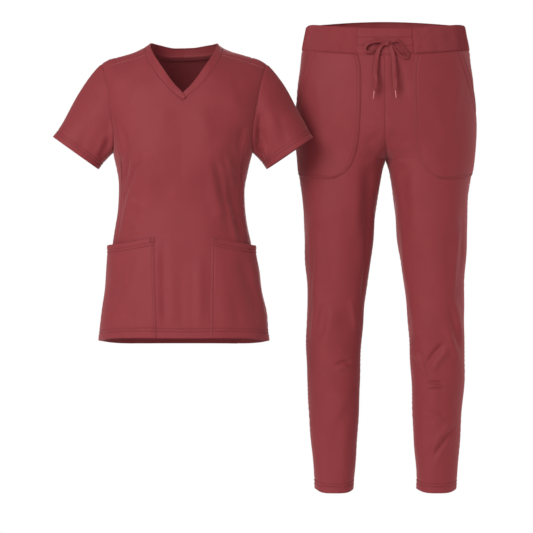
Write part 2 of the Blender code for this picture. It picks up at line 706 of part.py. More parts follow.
def neckband_grids():
    """Outer and inner points of the band's right half, from the point of the V to the centre
    back. The columns are the seam, the middle and the free edge."""
    front = along(NECKLINE_FRONT, NECK_FRONT_ROWS + 1)
    front_places = top_place(front[:, 0], front[:, 1], 1)
    places = np.vstack([front_places, back_neck_places(NECK_BACK_ROWS + 1)[::-1]])
    seam = top_surface(*places.T)
    edge = np.vstack([
        along(NECK_EDGE, NECK_FRONT_ROWS + 1, 0.0, NECK_FORWARD_SHARE),
        along(NECK_EDGE, NECK_BACK_ROWS + 2, NECK_FORWARD_SHARE, 1.0)[1:],
    ])
    outer = np.stack([seam, (seam + edge) / 2, edge], 1)
    away = outer - np.array([0.0, -0.01, -0.08])
    normal = grid_normals(outer, away)
    outer[:, 1] += normal[:, 1] * NECKBAND_BULGE
    inner = outer - WALL * normal
    inner[:, 0] = seam - WALL * top_normals(places)
    off = unit(edge - seam) * SEAM
    outer[:, 0] += off
    inner[:, 0] += off
    return outer, inner


def neckband(material):
    """Three lengths of one folded band. At the V the left one laps over the right one's end."""
    flip = np.array([-1.0, 1.0, 1.0])
    split = NECK_FRONT_ROWS
    whole = neckband_grids()
    back = [np.concatenate([half[split:], (half[split:] * flip)[-2::-1]]) for half in whole]
    top_piece("top_neckband_back", *drawn_back(*back, rows="first last"), material)

    right = [half[: split + 1].copy() for half in whole]
    left = [half[: split + 1].copy() for half in whole]
    for half in right:
        lap = half[0, 0] + (half[1, 0] - half[0, 0]) * V_LAP
        half[0] = np.linspace(lap, half[0, 2], 3)
        half[0] += unit(half[1] - half[0]) * V_LAP_CLEAR
    for half in left:
        lap = (half[0, 0] + (half[1, 0] - half[0, 0]) * V_LAP) * flip
        half[0] = np.linspace(half[0, 0], lap, 3)
    right = drawn_back(*right, rows="last")
    left = drawn_back(*left, rows="first last")
    top_piece("top_neckband_right", *right, material)
    top_piece("top_neckband_left", *map(mirrored, left), material)


def top_pockets(material):
    """A patch pocket each side, from the inner stitched edge to the side seam. Its mouth stands
    away from the body near the side."""
    inner_z = np.linspace(TOP_HEM_FRONT + TOP_POCKET_HEM, TOP_POCKET_TOP_INNER, POCKET_ROWS + 1)
    inner_edge = top_place(np.full(POCKET_ROWS + 1, TOP_POCKET_INNER), inner_z, 1)
    side_z = np.linspace(side_hem() + TOP_POCKET_HEM, TOP_POCKET_TOP_OUTER, POCKET_ROWS + 1)
    outer_edge = top_place(top_half_width(side_z), side_z, 1)
    outer_edge[:, 0] = POCKET_SIDE_SHARE
    hem = hem_place(inner_edge[0, 0], POCKET_SIDE_SHARE, POCKET_COLUMNS + 1, 1)
    hem[:, 1] -= TOP_POCKET_HEM
    mouth = np.linspace(inner_edge[-1], outer_edge[-1], POCKET_COLUMNS + 1)
    inner_edge[0], outer_edge[0] = hem[0], hem[-1]
    places = patch(hem, mouth, inner_edge, outer_edge)
    base = top_surface(places[..., 0], places[..., 1])
    normal = top_normals(places)
    across = np.linspace(0, 1, POCKET_COLUMNS + 1)[None, :]
    up = np.linspace(0, 1, POCKET_ROWS + 1)[:, None]
    bag = np.sin(np.clip(across / POCKET_BAG_WIDEST, 0, 2) ** POCKET_BAG_ROUNDING * math.pi / 2).clip(0)
    gape = TOP_POCKET_GAPE * bag * up**POCKET_BAG_OPENING
    inner = base + normal * (LAYER + gape)[..., None]
    outer = base + normal * (LAYER + gape + WALL)[..., None]
    two_sides("top_pocket", outer, inner, material)


def side_hem():
    return (TOP_HEM_FRONT + TOP_HEM_BACK) / 2


# ---------------------------------------------------------------- the trousers
def front_shares():
    """Shares of the way from the centre front to the side, with one at the insert's edge."""
    width = section(TROUSER_SECTIONS, 1, np.array(0.0))
    insert = math.asin(INSERT_HALF / float(width)) * 2 / math.pi
    inside = np.linspace(0, insert, INSERT_COLUMNS + 1)
    return np.concatenate([inside, np.linspace(insert, 1, FRONT_COLUMNS - INSERT_COLUMNS + 1)[1:]])


def trouser_surface(share, height, front):
    """The right half of the trousers. share is 0 at the centre or the inside leg and 1 at the
    outer side. Above the crotch a section is half of a hip, below it is a leg, and in the rise
    between the two it turns from one into the other."""
    outer = section(TROUSER_SECTIONS, 1, height)
    inner = section(TROUSER_SECTIONS, 2, height)
    depth = section(TROUSER_SECTIONS, 3 if front else 4, height)
    middle = section(TROUSER_SECTIONS, 5, height)
    rise = FRONT_RISE if front else BACK_RISE
    way = np.clip((CROTCH + rise - height) / rise, 0, 1)
    sharp = 1 - np.sqrt(1 - way**2)
    slow = np.clip((CROTCH + rise - height) / (rise + LEG_BLEND), 0, 1)
    slow = slow * slow * (3 - 2 * slow)
    aside = np.clip(share / LEG_BLEND_SHARE, 0, 1)
    aside = aside * aside * (3 - 2 * aside)
    leg = sharp + (slow - sharp) * aside
    turn = np.sin(share * math.pi / 2)
    hip_x = outer * turn
    hip_y = np.maximum(1 - turn**HIP_SQUARENESS, 0) ** (1 / HIP_SQUARENESS)
    swing = np.cos(share * math.pi)
    leg_x = (outer + inner) / 2 - (outer - inner) / 2 * swing
    leg_y = np.maximum(1 - np.abs(swing) ** LEG_SQUARENESS, 0) ** (1 / LEG_SQUARENESS)
    x = (1 - leg) * hip_x + leg * leg_x
    y = depth * ((1 - leg) * hip_y + leg * leg_y)
    return np.stack([x, middle + (-y if front else y), height + 0 * x], -1)


def waist_height(share, front):
    middle = WAIST_FRONT if front else WAIST_BACK
    return WAIST_SIDE + (middle - WAIST_SIDE) * np.cos(share * math.pi / 2) ** 2


def trouser_heights(share, front):
    """The height of every row at one share of the way round, from the hem to the waistband's
    top edge."""
    hem = LEG_HEM - LEG_HEM_DIP * math.sin(share * math.pi) ** 2
    leg = np.concatenate([[hem], np.linspace(LEG_HEM, CROTCH, LEG_ROWS + 1)[1:]])
    turn = np.linspace(math.pi / 2, 0, RISE_ROWS + 1)[1:]
    rise = CROTCH + BACK_RISE - BACK_RISE * np.sin(turn)
    waist = waist_height(share, front)
    hip = np.linspace(rise[-1], waist, HIP_ROWS + 1)[1:]
    band = np.linspace(waist, waist + BAND_HEIGHT, BAND_ROWS + 1)[1:]
    return np.concatenate([leg, rise, hip, band])


def trouser_grids():
    """Outer and inner points of the right half. The columns run from the centre front round the
    side to the centre back, and in the leg they close into a ring at the inside leg."""
    fronts = front_shares()
    backs = np.linspace(1, 0, BACK_COLUMNS + 1)[1:]
    parts = [(share, True) for share in fronts] + [(share, False) for share in backs]
    outer = np.stack([
        trouser_surface(share, trouser_heights(share, front), front) for share, front in parts
    ], 1)
    above = np.arange(len(outer))[:, None, None] > LEG_ROWS
    flip = np.array([-1.0, 1.0, 1.0])
    before = np.where(above, outer[:, 1:2] * flip, outer[:, -2:-1])
    after = np.where(above, outer[:, -2:-1] * flip, outer[:, 1:2])
    wide = np.hstack([before, outer, after])
    across = wide[:, 2:] - wide[:, :-2]
    up = np.gradient(outer, axis=0)
    normal = unit(np.cross(across, up))
    normal[LEG_ROWS, [0, -1]] = unit(np.array([-0.25, 0.0, -0.97]))
    length = np.full(outer.shape[:2], WALL)
    for edge, beside in ((0, 1), (-1, -2)):
        one_side = outer[:, beside] - outer[:, edge]
        face = unit(np.cross(one_side, up[:, edge]))
        agree = np.abs((face * normal[:, edge]).sum(1))
        length[LEG_ROWS + 1 :, edge] /= np.maximum(agree[LEG_ROWS + 1 :], 0.5)
    inner = outer - normal * length[..., None]
    return outer, inner


def moved_trousers(grid):
    return grid + np.array([TROUSERS_X, TROUSERS_Y, 0.0])


def trouser_sides(name, outer, inner, material):
    """A piece on each side, kept clear of the centre plane."""
    outer, inner = outer.copy(), inner.copy()
    outer[..., 0] = np.maximum(outer[..., 0], SEAM / 2)
    inner[..., 0] = np.maximum(inner[..., 0], SEAM / 2)
    wall_solid(name + "_right", moved_trousers(outer), moved_trousers(inner), material)
    pair = moved_trousers(mirrored(outer)), moved_trousers(mirrored(inner))
    wall_solid(name + "_left", *pair, material)


def trouser_panels(material):
    outer, inner = trouser_grids()
    waist = LEG_ROWS + RISE_ROWS + HIP_ROWS + 1
    side = FRONT_COLUMNS + 1
    front = drawn_back(outer[:waist, :side].copy(), inner[:waist, :side].copy(),
                       columns="first last", rows="last")
    trouser_sides("trousers_front", *front, material)
    back = drawn_back(outer[:waist, side - 1 :].copy(), inner[:waist, side - 1 :].copy(),
                      columns="first last", rows="last")
    trouser_sides("trousers_back", *back, material)


def waistband(cloth_material, rib_material):
    outer, inner = trouser_grids()
    waist = LEG_ROWS + RISE_ROWS + HIP_ROWS
    outer, inner = outer[waist:], inner[waist:]
    insert = [both_halves(grid[:, : INSERT_COLUMNS + 1]) for grid in (outer, inner)]
    insert = drawn_back(*insert, columns="first last", rows="first")
    wall_solid("trousers_insert", *map(moved_trousers, insert), cloth_material)
    rib = []
    for grid in (outer, inner):
        half = grid[:, INSERT_COLUMNS:]
        rib.append(np.hstack([half, mirrored(half)[:, 1:]]))
    rib = drawn_back(*rib, columns="first last", rows="first")
    wall_solid("trousers_waistband", *map(moved_trousers, rib), rib_material)


def share_at(x, height):
    """The share of the way round the front at a distance from the centre."""
    shares = np.linspace(0, 1, 301)
    line = trouser_surface(shares, np.full(301, height), True)
    return float(np.interp(x, line[:, 0], shares))


def trouser_pockets(material):
    """A curved patch pocket each side. Its mouth runs from the waistband to the side seam."""
    low = along(TROUSER_POCKET_INNER, POCKET_ROWS + 1)[::-1]
    inner_edge = np.array([(share_at(x, z), z) for x, z in low])
    waist = waist_height(inner_edge[-1, 0], True) - SEAM
    inner_edge[-1, 1] = waist
    side_rows = POCKET_ROWS // 2
    side_z = np.linspace(TROUSER_POCKET_SIDE_END, TROUSER_POCKET_MOUTH_END, side_rows + 1)
    side = np.stack([np.full(side_rows + 1, POCKET_SIDE_SHARE), side_z], 1)
    mouth_share = share_at(TROUSER_POCKET_MOUTH_X, WAIST_SIDE)
    mouth_top = (mouth_share, waist_height(mouth_share, True) - SEAM)
    mouth = np.linspace(side[-1], mouth_top, POCKET_ROWS - side_rows + 1)
    outer_edge = np.vstack([side, mouth[1:]])
    bottom = np.linspace(inner_edge[0], outer_edge[0], POCKET_COLUMNS + 1)
    bottom[1:-1, 1] -= 0.002
    top_shares = np.linspace(inner_edge[-1, 0], mouth_share, POCKET_COLUMNS + 1)
    top = np.stack([top_shares, waist_height(top_shares, True) - SEAM], 1)
    places = patch(bottom, top, inner_edge, outer_edge)
    base = trouser_surface(places[..., 0], places[..., 1], True)
    normal = grid_normals(base, base * np.array([1.0, 1.0, 0.0]))
    up = np.linspace(0, 1, POCKET_ROWS + 1)[:, None]
    across = np.linspace(0, 1, POCKET_COLUMNS + 1)[None, :]
    gape = TROUSER_POCKET_GAPE * across**3 * np.sin(np.clip(up * 2 - 1, 0, 1) * math.pi)
    inner = base + normal * (LAYER + gape)[..., None]
    outer = base + normal * (LAYER + gape + WALL)[..., None]
    trouser_sides("trousers_pocket", outer, inner, material)


# ---------------------------------------------------------------- the drawstring
def front_y(x, z):
    """How far forward the trousers' front or waistband lies."""
    share = share_at(abs(x), z)
    return float(trouser_surface(np.array(share), np.array(z), True)[1])


def flat_cord(name, table, stand, rows, material):
    """A flat cord whose width lies across the front, and which stands off the cloth."""
    line = along(table, rows)
    way = unit(np.gradient(line, axis=0))
    across = np.stack([-way[:, 1], way[:, 0]], 1) * CORD_WIDTH / 2
    share = np.linspace(0, 1, rows)
    lift = np.array([stand(value) for value in share])
    grids = []
    for thick in (CORD_THICK, 0.0):
        sides = []
        for side in (-1, 0, 1):
            flat = line + side * across
            y = [front_y(x, z) for x, z in line] - lift - thick - CORD_CROWN * (1 - abs(side))
            sides.append(np.stack([flat[:, 0], y, flat[:, 1]], 1))
        grids.append(moved_trousers(np.stack(sides, 1)))
    wall_solid(name, *grids, material)


def rounded_lump(name, centre, size, material):
    """An egg-shaped solid of the given half sizes."""
    mesh = bpy.data.meshes.new(name)
    work = bmesh.new()
    bmesh.ops.create_uvsphere(work, u_segments=12, v_segments=8, radius=1.0)
    for vert in work.verts:
        vert.co = [c + s * v for c, s, v in zip(centre, size, vert.co)]
    work.to_mesh(mesh)
    work.free()
    mesh.materials.append(material)
    piece = bpy.data.objects.new(name, mesh)
    bpy.data.collections[COLLECTION].objects.link(piece)


def tip(name, start, lean, material):
    """A short round tip pressed on the cord's end."""
    mesh = bpy.data.meshes.new(name)
    work = bmesh.new()
    bmesh.ops.create_cone(work, cap_ends=True, segments=10, radius1=TIP_RADIUS * 0.75,
                          radius2=TIP_RADIUS, depth=TIP_LENGTH)
    for vert in work.verts:
        vert.co.z -= TIP_LENGTH / 2
        vert.co.x -= vert.co.z * lean
        vert.co = [c + v for c, v in zip(start, vert.co)]
    work.to_mesh(mesh)
    work.free()
    mesh.materials.append(material)
    piece = bpy.data.objects.new(name, mesh)
    bpy.data.collections[COLLECTION].objects.link(piece)


def loop_lift(share):
    return LIFT_HIGH + (LIFT_LOW - LIFT_HIGH) * np.clip((share - 0.3) / 0.4, 0, 1)


def tail_lift(share):
    return LIFT_MIDDLE + (LIFT_LOW - LIFT_MIDDLE) * np.clip((share - 0.3) / 0.3, 0, 1)


def drawstring(material, tip_material):
    flat_cord("drawstring_loop_left", LOOP_LEFT, loop_lift, 19, material)
    flat_cord("drawstring_loop_right", LOOP_RIGHT, loop_lift, 20, material)
    for side, table, lean in (("left", TAIL_LEFT, -0.12), ("right", TAIL_RIGHT, 0.09)):
        flat_cord("drawstring_tail_" + side, table, tail_lift, 14, material)
        x, z = table[-1]
        y = front_y(x, z) - LIFT_LOW - CORD_THICK / 2
        start = moved_trousers(np.array([x, y, z - SEAM]))
        tip("drawstring_tip_" + side, start, lean, tip_material)
    knot_y = front_y(*KNOT) - KNOT_SIZE[1] - LIFT_LOW
    centre = moved_trousers(np.array([KNOT[0], knot_y, KNOT[1]]))
    rounded_lump("drawstring_knot", centre, KNOT_SIZE, material)


def main():
    for obj in list(bpy.data.objects):
        bpy.data.objects.remove(obj)
    bpy.context.scene.collection.children.link(bpy.data.collections.new(COLLECTION))
    cloth_material = cloth("wine stretch cloth", CLOTH_COLOUR, 0.85)
    rib_material = cloth("wine rib knit", RIB_COLOUR, 0.90)
    cord_material = cloth("wine flat cord", CORD_COLOUR, 0.85)
    tip_material = cloth("rose plastic tip", TIP_COLOUR, 0.35)
    top_panels(cloth_material)
    top_sleeves(cloth_material)
    neckband(cloth_material)
    top_pockets(cloth_material)
    trouser_panels(cloth_material)
    waistband(cloth_material, rib_material)
    trouser_pockets(cloth_material)
    drawstring(cord_material, tip_material)


main()
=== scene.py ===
import math

import bpy
import numpy as np
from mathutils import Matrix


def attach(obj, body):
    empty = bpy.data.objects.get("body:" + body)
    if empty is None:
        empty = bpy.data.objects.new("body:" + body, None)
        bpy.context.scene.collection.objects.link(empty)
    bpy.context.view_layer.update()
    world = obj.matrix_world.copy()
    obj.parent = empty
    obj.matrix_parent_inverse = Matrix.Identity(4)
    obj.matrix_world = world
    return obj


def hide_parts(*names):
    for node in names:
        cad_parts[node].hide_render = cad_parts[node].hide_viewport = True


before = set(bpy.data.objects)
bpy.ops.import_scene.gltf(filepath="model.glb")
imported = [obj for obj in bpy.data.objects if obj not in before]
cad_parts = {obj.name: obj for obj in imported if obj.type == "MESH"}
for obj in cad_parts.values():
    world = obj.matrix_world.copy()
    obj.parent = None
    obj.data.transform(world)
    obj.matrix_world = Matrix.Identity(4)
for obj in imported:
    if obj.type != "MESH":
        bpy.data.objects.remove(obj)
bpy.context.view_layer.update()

# ----------------------------------------------------------------------
# The scrub cloth. One dyed polyester, rayon and elastane twill for every cut piece of both
# garments: matt, faintly mottled, with a fine diagonal rib that only shows close by.
# ----------------------------------------------------------------------
CLOTH_DYE = (0.178, 0.0195, 0.0245, 1.0)
CLOTH_SHADE = (0.146, 0.0148, 0.019, 1.0)
CLOTH_FUZZ = (1.0, 0.44, 0.45, 1.0)
TWILL_PITCH = 0.00075
MOTTLE_SIZE = 0.0016


def node(tree, kind, **settings):
    """Adds one shader node and sets its properties and its unlinked inputs by name."""
    made = tree.nodes.new(kind)
    for key, value in settings.items():
        if hasattr(made, key):
            setattr(made, key, value)
        else:
            made.inputs[key.replace("_", " ")].default_value = value
    return made


def dyed_cloth(name, dye, shade, bands, pitch, depth):
    """Matt cloth that reads the piece's own map in metres: bands of the given direction for the
    twill or the rib, and two sizes of noise for the mottled dye and the nap."""
    material = bpy.data.materials.new(name)
    material.use_nodes = True
    tree = material.node_tree
    shader = tree.nodes["Principled BSDF"]
    shader.inputs["Roughness"].default_value = 0.70
    shader.inputs["Specular IOR Level"].default_value = 0.26
    shader.inputs["Sheen Weight"].default_value = 0.26
    shader.inputs["Sheen Roughness"].default_value = 0.45
    shader.inputs["Sheen Tint"].default_value = CLOTH_FUZZ
    place = node(tree, "ShaderNodeUVMap", uv_map="cut")
    mottle = node(tree, "ShaderNodeTexNoise", Scale=1 / MOTTLE_SIZE, Detail=3.0, Roughness=0.6)
    cloudy = node(tree, "ShaderNodeTexNoise", Scale=22.0, Detail=2.0)
    both = node(tree, "ShaderNodeMath", operation="MULTIPLY_ADD")
    both.inputs[1].default_value = 0.35
    colour = node(tree, "ShaderNodeMix", data_type="RGBA")
    colour.inputs["A"].default_value = shade
    colour.inputs["B"].default_value = dye
    span = node(tree, "ShaderNodeMapRange", From_Min=0.42, From_Max=0.92)
    weave = node(tree, "ShaderNodeTexWave", bands_direction=bands, Scale=0.314 / pitch)
    bump = node(tree, "ShaderNodeBump", Strength=0.35, Distance=depth)
    nap = node(tree, "ShaderNodeBump", Strength=0.25, Distance=0.0004)
    link = tree.links.new
    for texture in (mottle, cloudy, weave):
        link(place.outputs["UV"], texture.inputs["Vector"])
    link(cloudy.outputs["Fac"], both.inputs[0])
    link(mottle.outputs["Fac"], both.inputs[2])
    link(both.outputs["Value"], span.inputs["Value"])
    link(span.outputs["Result"], colour.inputs["Factor"])
    link(colour.outputs["Result"], shader.inputs["Base Color"])
    link(weave.outputs["Fac"], bump.inputs["Height"])
    link(mottle.outputs["Fac"], nap.inputs["Height"])
    link(bump.outputs["Normal"], nap.inputs["Normal"])
    link(nap.outputs["Normal"], shader.inputs["Normal"])
    return material


scrub_cloth = dyed_cloth("scrub cloth", CLOTH_DYE, CLOTH_SHADE, "DIAGONAL", TWILL_PITCH, 0.00012)

# ----------------------------------------------------------------------
# The body of the top: a centre front and two side fronts, cut to a waist by the two princess
# seams that run from the armholes into the pockets. Seams are pressed open and sewn down.
# ----------------------------------------------------------------------
CLOTH_THICK = 0.0012
SEAM_ROLL = 0.0009
HEM_DEPTH = 0.0200
ROW_GAP = 0.0062
SHOULDER_TOP = 0.196
TOP_HEM_FRONT = -0.6262
TOP_HEM_BACK = -0.642
ARMPIT = -0.229
FRONT_ROUNDING = 0.120
BACK_ROUNDING = 0.090
SHOULDER_PEAK = 1.3
FRONT_SQUARENESS = 2.4
BACK_SQUARENESS = 2.3
BUST_HEIGHT = -0.245
BUST_SPREAD = 0.078
BUST_RISE = 0.007
BUST_SIZE = 0.060
FORWARD_SEAM_NECK = (0.0815, -0.0200)
FORWARD_SEAM_ARM = (0.1750, -0.0470)
# the rows of the armholes' tables where the princess seam ends, and of the armpit or shoulder tip
ARMHOLE_PRINCESS = 4
ARMHOLE_LAST = 8
LOW_SHARE = 0.68
NECK_SHARE = 0.46
# height, half width, depth of the front, depth of the back
TOP_SECTIONS = (
    (-0.660, 0.1832, 0.125, 0.131),
    (-0.585, 0.1762, 0.123, 0.130),
    (-0.533, 0.1663, 0.120, 0.126),
    (-0.482, 0.1588, 0.116, 0.119),
    (-0.430, 0.1495, 0.111, 0.109),
    (-0.385, 0.1415, 0.107, 0.099),
    (-0.340, 0.1360, 0.105, 0.092),
    (-0.301, 0.1355, 0.109, 0.094),
    (-0.262, 0.1410, 0.116, 0.101),
    (-0.228, 0.1500, 0.118, 0.107),
    (-0.190, 0.1590, 0.114, 0.111),
    (-0.150, 0.1705, 0.107, 0.112),
    (-0.100, 0.1840, 0.099, 0.108),
    (-0.040, 0.1950, 0.092, 0.100),
    (0.020, 0.1980, 0.090, 0.096),
)
# height, how far the body of the top leans sideways there
TOP_LEAN = (
    (-0.660, 0.0016), (-0.600, -0.0008), (-0.500, -0.0037), (-0.380, -0.0050), (-0.280, -0.0035),
    (-0.180, -0.0010), (-0.100, 0.0000), (0.020, 0.0000),
)
# distance from the centre, height of the shoulder ridge
SHOULDER_RIDGE = (
    (0.000, 0.0070), (0.060, 0.0035), (0.082, -0.0030), (0.104, -0.0130),
    (0.134, -0.0225), (0.163, -0.0310), (0.178, -0.0395), (0.200, -0.0560),
)
# distance from the centre, height of the V neckline
NECKLINE_FRONT = (
    (0.0000, -0.1200), (0.0200, -0.1030), (0.0380, -0.0845), (0.0520, -0.0685),
    (0.0636, -0.0510), (0.0742, -0.0360), (0.0815, -0.0200),
)
# share of the way round to the side, height of the front armhole
ARMHOLE_FRONT = (
    (0.713, -0.047), (0.690, -0.076), (0.690, -0.103), (0.711, -0.137), (0.735, -0.165),
    (0.765, -0.190), (0.812, -0.210), (0.880, -0.223), (1.000, ARMPIT),
)
# height, distance from the centre of the front princess seam
PRINCESS_FRONT = (
    (-0.660, 0.1630), (-0.500, 0.1500), (-0.412, 0.1370), (-0.363, 0.1300), (-0.307, 0.1290),
    (-0.243, 0.1320), (-0.217, 0.1350), (-0.190, 0.1420), (-0.165, 0.1520),
)
# Folds of the front, as seen from the front, in millimetres:
# start across, start height, end across, end height, bend, width left, width right, height
FRONT_FOLDS = (
    (-113, -228, -126, -296, 2, 5, 8, -3.8),
    (-91, -225, -110, -305, 2, 6, 9, -3.5),
    (-104, -236, -122, -318, 2, 6, 5, 4.0),
    (-79, -232, -134, -430, -4, 8, 11, 7.4),
    (-60, -250, -92, -380, 0, 14, 18, 3.8),
    (130, -160, 84, -276, 2, 14, 16, -3.2),
    (66, -236, 106, -376, 2, 10, 7, -6.5),
    (86, -296, 125, -436, 2, 7, 6, 4.8),
    (94, -228, 119, -318, 1, 6, 7, 4.2),
    (101, -284, 135, -428, 2, 8, 8, -4.6),
    (118, -222, 130, -446, 0, 30, 15, -7.0),
    (-116, -222, -130, -446, 0, 15, 30, -4.5),
    (60, -252, 96, -392, -3, 14, 12, 3.5),
    (-35, -395, -36, -628, 0, 9, 7, -2.6),
    (-51, -405, -52, -628, 0, 9, 8, 2.6),
    (2, -480, 0, -622, 0, 12, 12, -2.0),
    (40, -430, 37, -626, 0, 10, 11, 2.8),
    (24, -470, 21, -626, 0, 9, 9, -1.3),
    (-18, -430, -20, -600, 0, 10, 11, 1.3),
    (-30, -130, -62, -215, -4, 14, 18, 2.2),
    (30, -130, 60, -215, 4, 18, 14, 2.2),
    (-92, -52, -118, -150, 4, 10, 16, 1.9),
    (96, -52, 120, -150, -4, 16, 10, 1.9),
    (-132, -172, -118, -232, 0, 7, 7, -3.2),
    (134, -168, 122, -236, 0, 7, 7, -4.8),
    (-146, -186, -132, -246, 0, 5, 6, 2.9),
    (146, -184, 134, -250, 0, 6, 5, 3.2),
    (-120, -330, -70, -356, 3, 9, 6, 1.7),
    (118, -352, 62, -372, -3, 9, 6, 1.7),
    (-124, -366, -84, -402, 3, 8, 6, 1.6),
    (-30, -318, 34, -326, 3, 12, 9, 1.2),
)


def column(table, number):
    """One column of a table."""
    return np.array([row[number] for row in table], float)


def eased(share):
    """A soft step from 0 to 1: three times the share squared less twice its cube."""
    return share * share * (3 - 2 * share)


def bell(way, width):
    """1 on a line and less beside it: e to the power of less the square of way over width."""
    return np.exp(-((way / width) ** 2))


def through(places, values, at):
    """A smooth curve through a table's rows: cubic pieces whose slopes come from the rows beside,
    value = blend of the two ends plus the two slopes' share."""
    slopes = np.gradient(values, places)
    at = np.clip(at, places[0], places[-1])
    i = np.clip(np.searchsorted(places, at) - 1, 0, len(places) - 2)
    step = places[i + 1] - places[i]
    t = (at - places[i]) / step
    start = t * (1 - t) ** 2 * step * slopes[i]
    end = t * t * (t - 1) * step * slopes[i + 1]
    return (1 - eased(t)) * values[i] + eased(t) * values[i + 1] + start + end


def section(table, number, height):
    """A column of a table of heights at any height, on the smooth curve through its rows."""
    return through(column(table, 0), column(table, number), height)


def run_along(line):
    """Each point's way along a line: the running sum of the steps from point to point."""
    return np.concatenate([[0], np.cumsum(np.linalg.norm(np.diff(line, axis=0), axis=1))])


def along(table, shares):
    """Points at the given shares of the length of the smooth curve through a table's rows."""
    knots = np.array(table, float)
    steps = np.arange(len(knots), dtype=float)
    fine = np.linspace(0, len(knots) - 1, 400)
    curve = np.stack([through(steps, knots[:, k], fine) for k in range(knots.shape[1])], 1)
    way = run_along(curve)
    want = np.asarray(shares) * way[-1]
    return np.stack([np.interp(want, way, curve[:, k]) for k in range(knots.shape[1])], 1)


def unit(vectors):
    """Each vector divided by its own length."""
    return vectors / np.maximum(np.linalg.norm(vectors, axis=-1, keepdims=True), 1e-12)


def patch(s, t, bottom, top, left, right):
    """A grid between four edges: the blend across plus the blend upwards, less the blend of the
    four corners. s and t are the shares at which the edges are given."""
    u, v = s[None, :, None], t[:, None, None]
    low = (1 - u) * bottom[0] + u * bottom[-1]
    high = (1 - u) * top[0] + u * top[-1]
    between = (1 - v) * bottom[None] + v * top[None] + (1 - u) * left[:, None] + u * right[:, None]
    return between - (1 - v) * low - v * high


def crowded(count, ends=6, near=0.012, stops=()):
    """Shares from 0 to 1 in even steps, with a few more close to both ends and one at each stop.
    Of two that all but touch, the lower one is kept, or the one at a stop."""
    close = near * np.linspace(0, 1, ends + 1)[1:-1] ** 1.5
    shares = np.concatenate([np.linspace(0, 1, count), close, 1 - close, np.array(stops)])
    shares = np.unique(np.round(shares, 6))
    keep = np.concatenate([[True], np.diff(shares) > 0.0009])
    kept = shares[keep | np.isin(shares, np.round(stops, 6))]
    kept[-1] = 1.0
    return kept


def groove_stops(depth, length, gap=ROW_GAP):
    """Where a grid of the given length needs rows for a hem's two grooves: five across each."""
    across = np.arange(-2, 3) * 0.0008
    return tuple(((depth - np.array([[0.0], [gap]]) + across) / length).ravel())


def top_half_width(height):
    """The distance from the middle of the top to its side at a height, from its sections."""
    return section(TOP_SECTIONS, 1, height)


def ridge_height(share):
    """The shoulder ridge's height at a share of the shoulder's width, on its table's curve."""
    return through(column(SHOULDER_RIDGE, 0), column(SHOULDER_RIDGE, 1), share * SHOULDER_TOP)


def top_surface(round_, down):
    """The smooth body of the top. round_ is 0 at the centre and 1 at the side, where the section
    is a rounded rectangle, x to a power plus y to a power. down is the way from the shoulder
    ridge, first round a quarter circle and then straight, in front when positive."""
    sine = np.sin(round_ * math.pi / 2)
    front = down >= 0
    rounding = np.where(front, FRONT_ROUNDING, BACK_ROUNDING)
    angle = np.minimum(np.abs(down) / rounding, math.pi / 2)
    drop = rounding * (1 - np.cos(angle))
    drop += np.maximum(np.abs(down) - rounding * math.pi / 2, 0)
    z = ridge_height(np.abs(sine)) - drop
    x = top_half_width(z) * sine
    depth = np.where(front, -section(TOP_SECTIONS, 2, z), section(TOP_SECTIONS, 3, z))
    power = np.where(front, FRONT_SQUARENESS, BACK_SQUARENESS)
    profile = np.maximum(1 - np.abs(sine) ** power, 0) ** (1 / power)
    y = depth * profile * np.sin(angle) ** SHOULDER_PEAK
    near_bust = np.exp(-((np.abs(x) - BUST_SPREAD) ** 2 + (z - BUST_HEIGHT) ** 2) / BUST_SIZE**2)
    y = y - np.where(front, BUST_RISE * near_bust * profile, 0)
    return np.stack([x, y, z], -1)


def top_place(x, z, side):
    """(round_, down) of a point of the top given by its place seen from the front. side is 1 in
    front and -1 behind. It undoes top_surface."""
    sine = np.clip(x / top_half_width(z), -1, 1)
    rounding = FRONT_ROUNDING if side > 0 else BACK_ROUNDING
    drop = np.maximum(ridge_height(np.abs(sine)) - z, 0)
    curved = rounding * np.arccos(np.clip(1 - drop / rounding, 0, 1))
    down = np.where(drop < rounding, curved, rounding * math.pi / 2 + drop - rounding)
    return np.stack([np.arcsin(sine) * 2 / math.pi, side * down], -1)


def armhole_place(table, at, side):
    """Points of an armhole as (round_, down), at the given rows of its table."""
    knots = np.array(table, float)
    steps = np.arange(len(knots), dtype=float)
    round_ = through(steps, knots[:, 0], at)
    z = through(steps, knots[:, 1], at)
    return top_place(top_half_width(z) * np.sin(round_ * math.pi / 2), z, side)


def shoulder_place(x):
    """The forward shoulder seam, a straight line seen from the front."""
    (neck_x, neck_z), (arm_x, arm_z) = FORWARD_SEAM_NECK, FORWARD_SEAM_ARM
    z = neck_z + (x - neck_x) / (arm_x - neck_x) * (arm_z - neck_z)
    return top_place(x, z, 1)


def hem_place(round_, side):
    """The top's hem at shares of the way round. It is lower behind than in front, straight for
    most of the way, and front and back meet in a curve at the sides."""
    centre = TOP_HEM_FRONT if side > 0 else TOP_HEM_BACK
    sides = (TOP_HEM_FRONT + TOP_HEM_BACK) / 2
    z = sides + (centre - sides) * (1 - np.sin(round_ * math.pi / 2) ** 8)
    return top_place(top_half_width(z) * np.sin(round_ * math.pi / 2), z, side)


def princess_place(table, side, shares, top):
    """A princess seam from the hem to the place where it ends, with both ends brought exactly on
    to the hem and on to that place."""
    hem = TOP_HEM_FRONT if side > 0 else TOP_HEM_BACK
    z = hem + (table[-1][0] - hem) * shares
    line = top_place(section(table, 1, z), z, side)
    start = hem_place(line[0, 0], side) - line[0]
    end = top - line[-1]
    return line + np.outer((1 - shares) ** 4, start) + np.outer(shares**4, end)


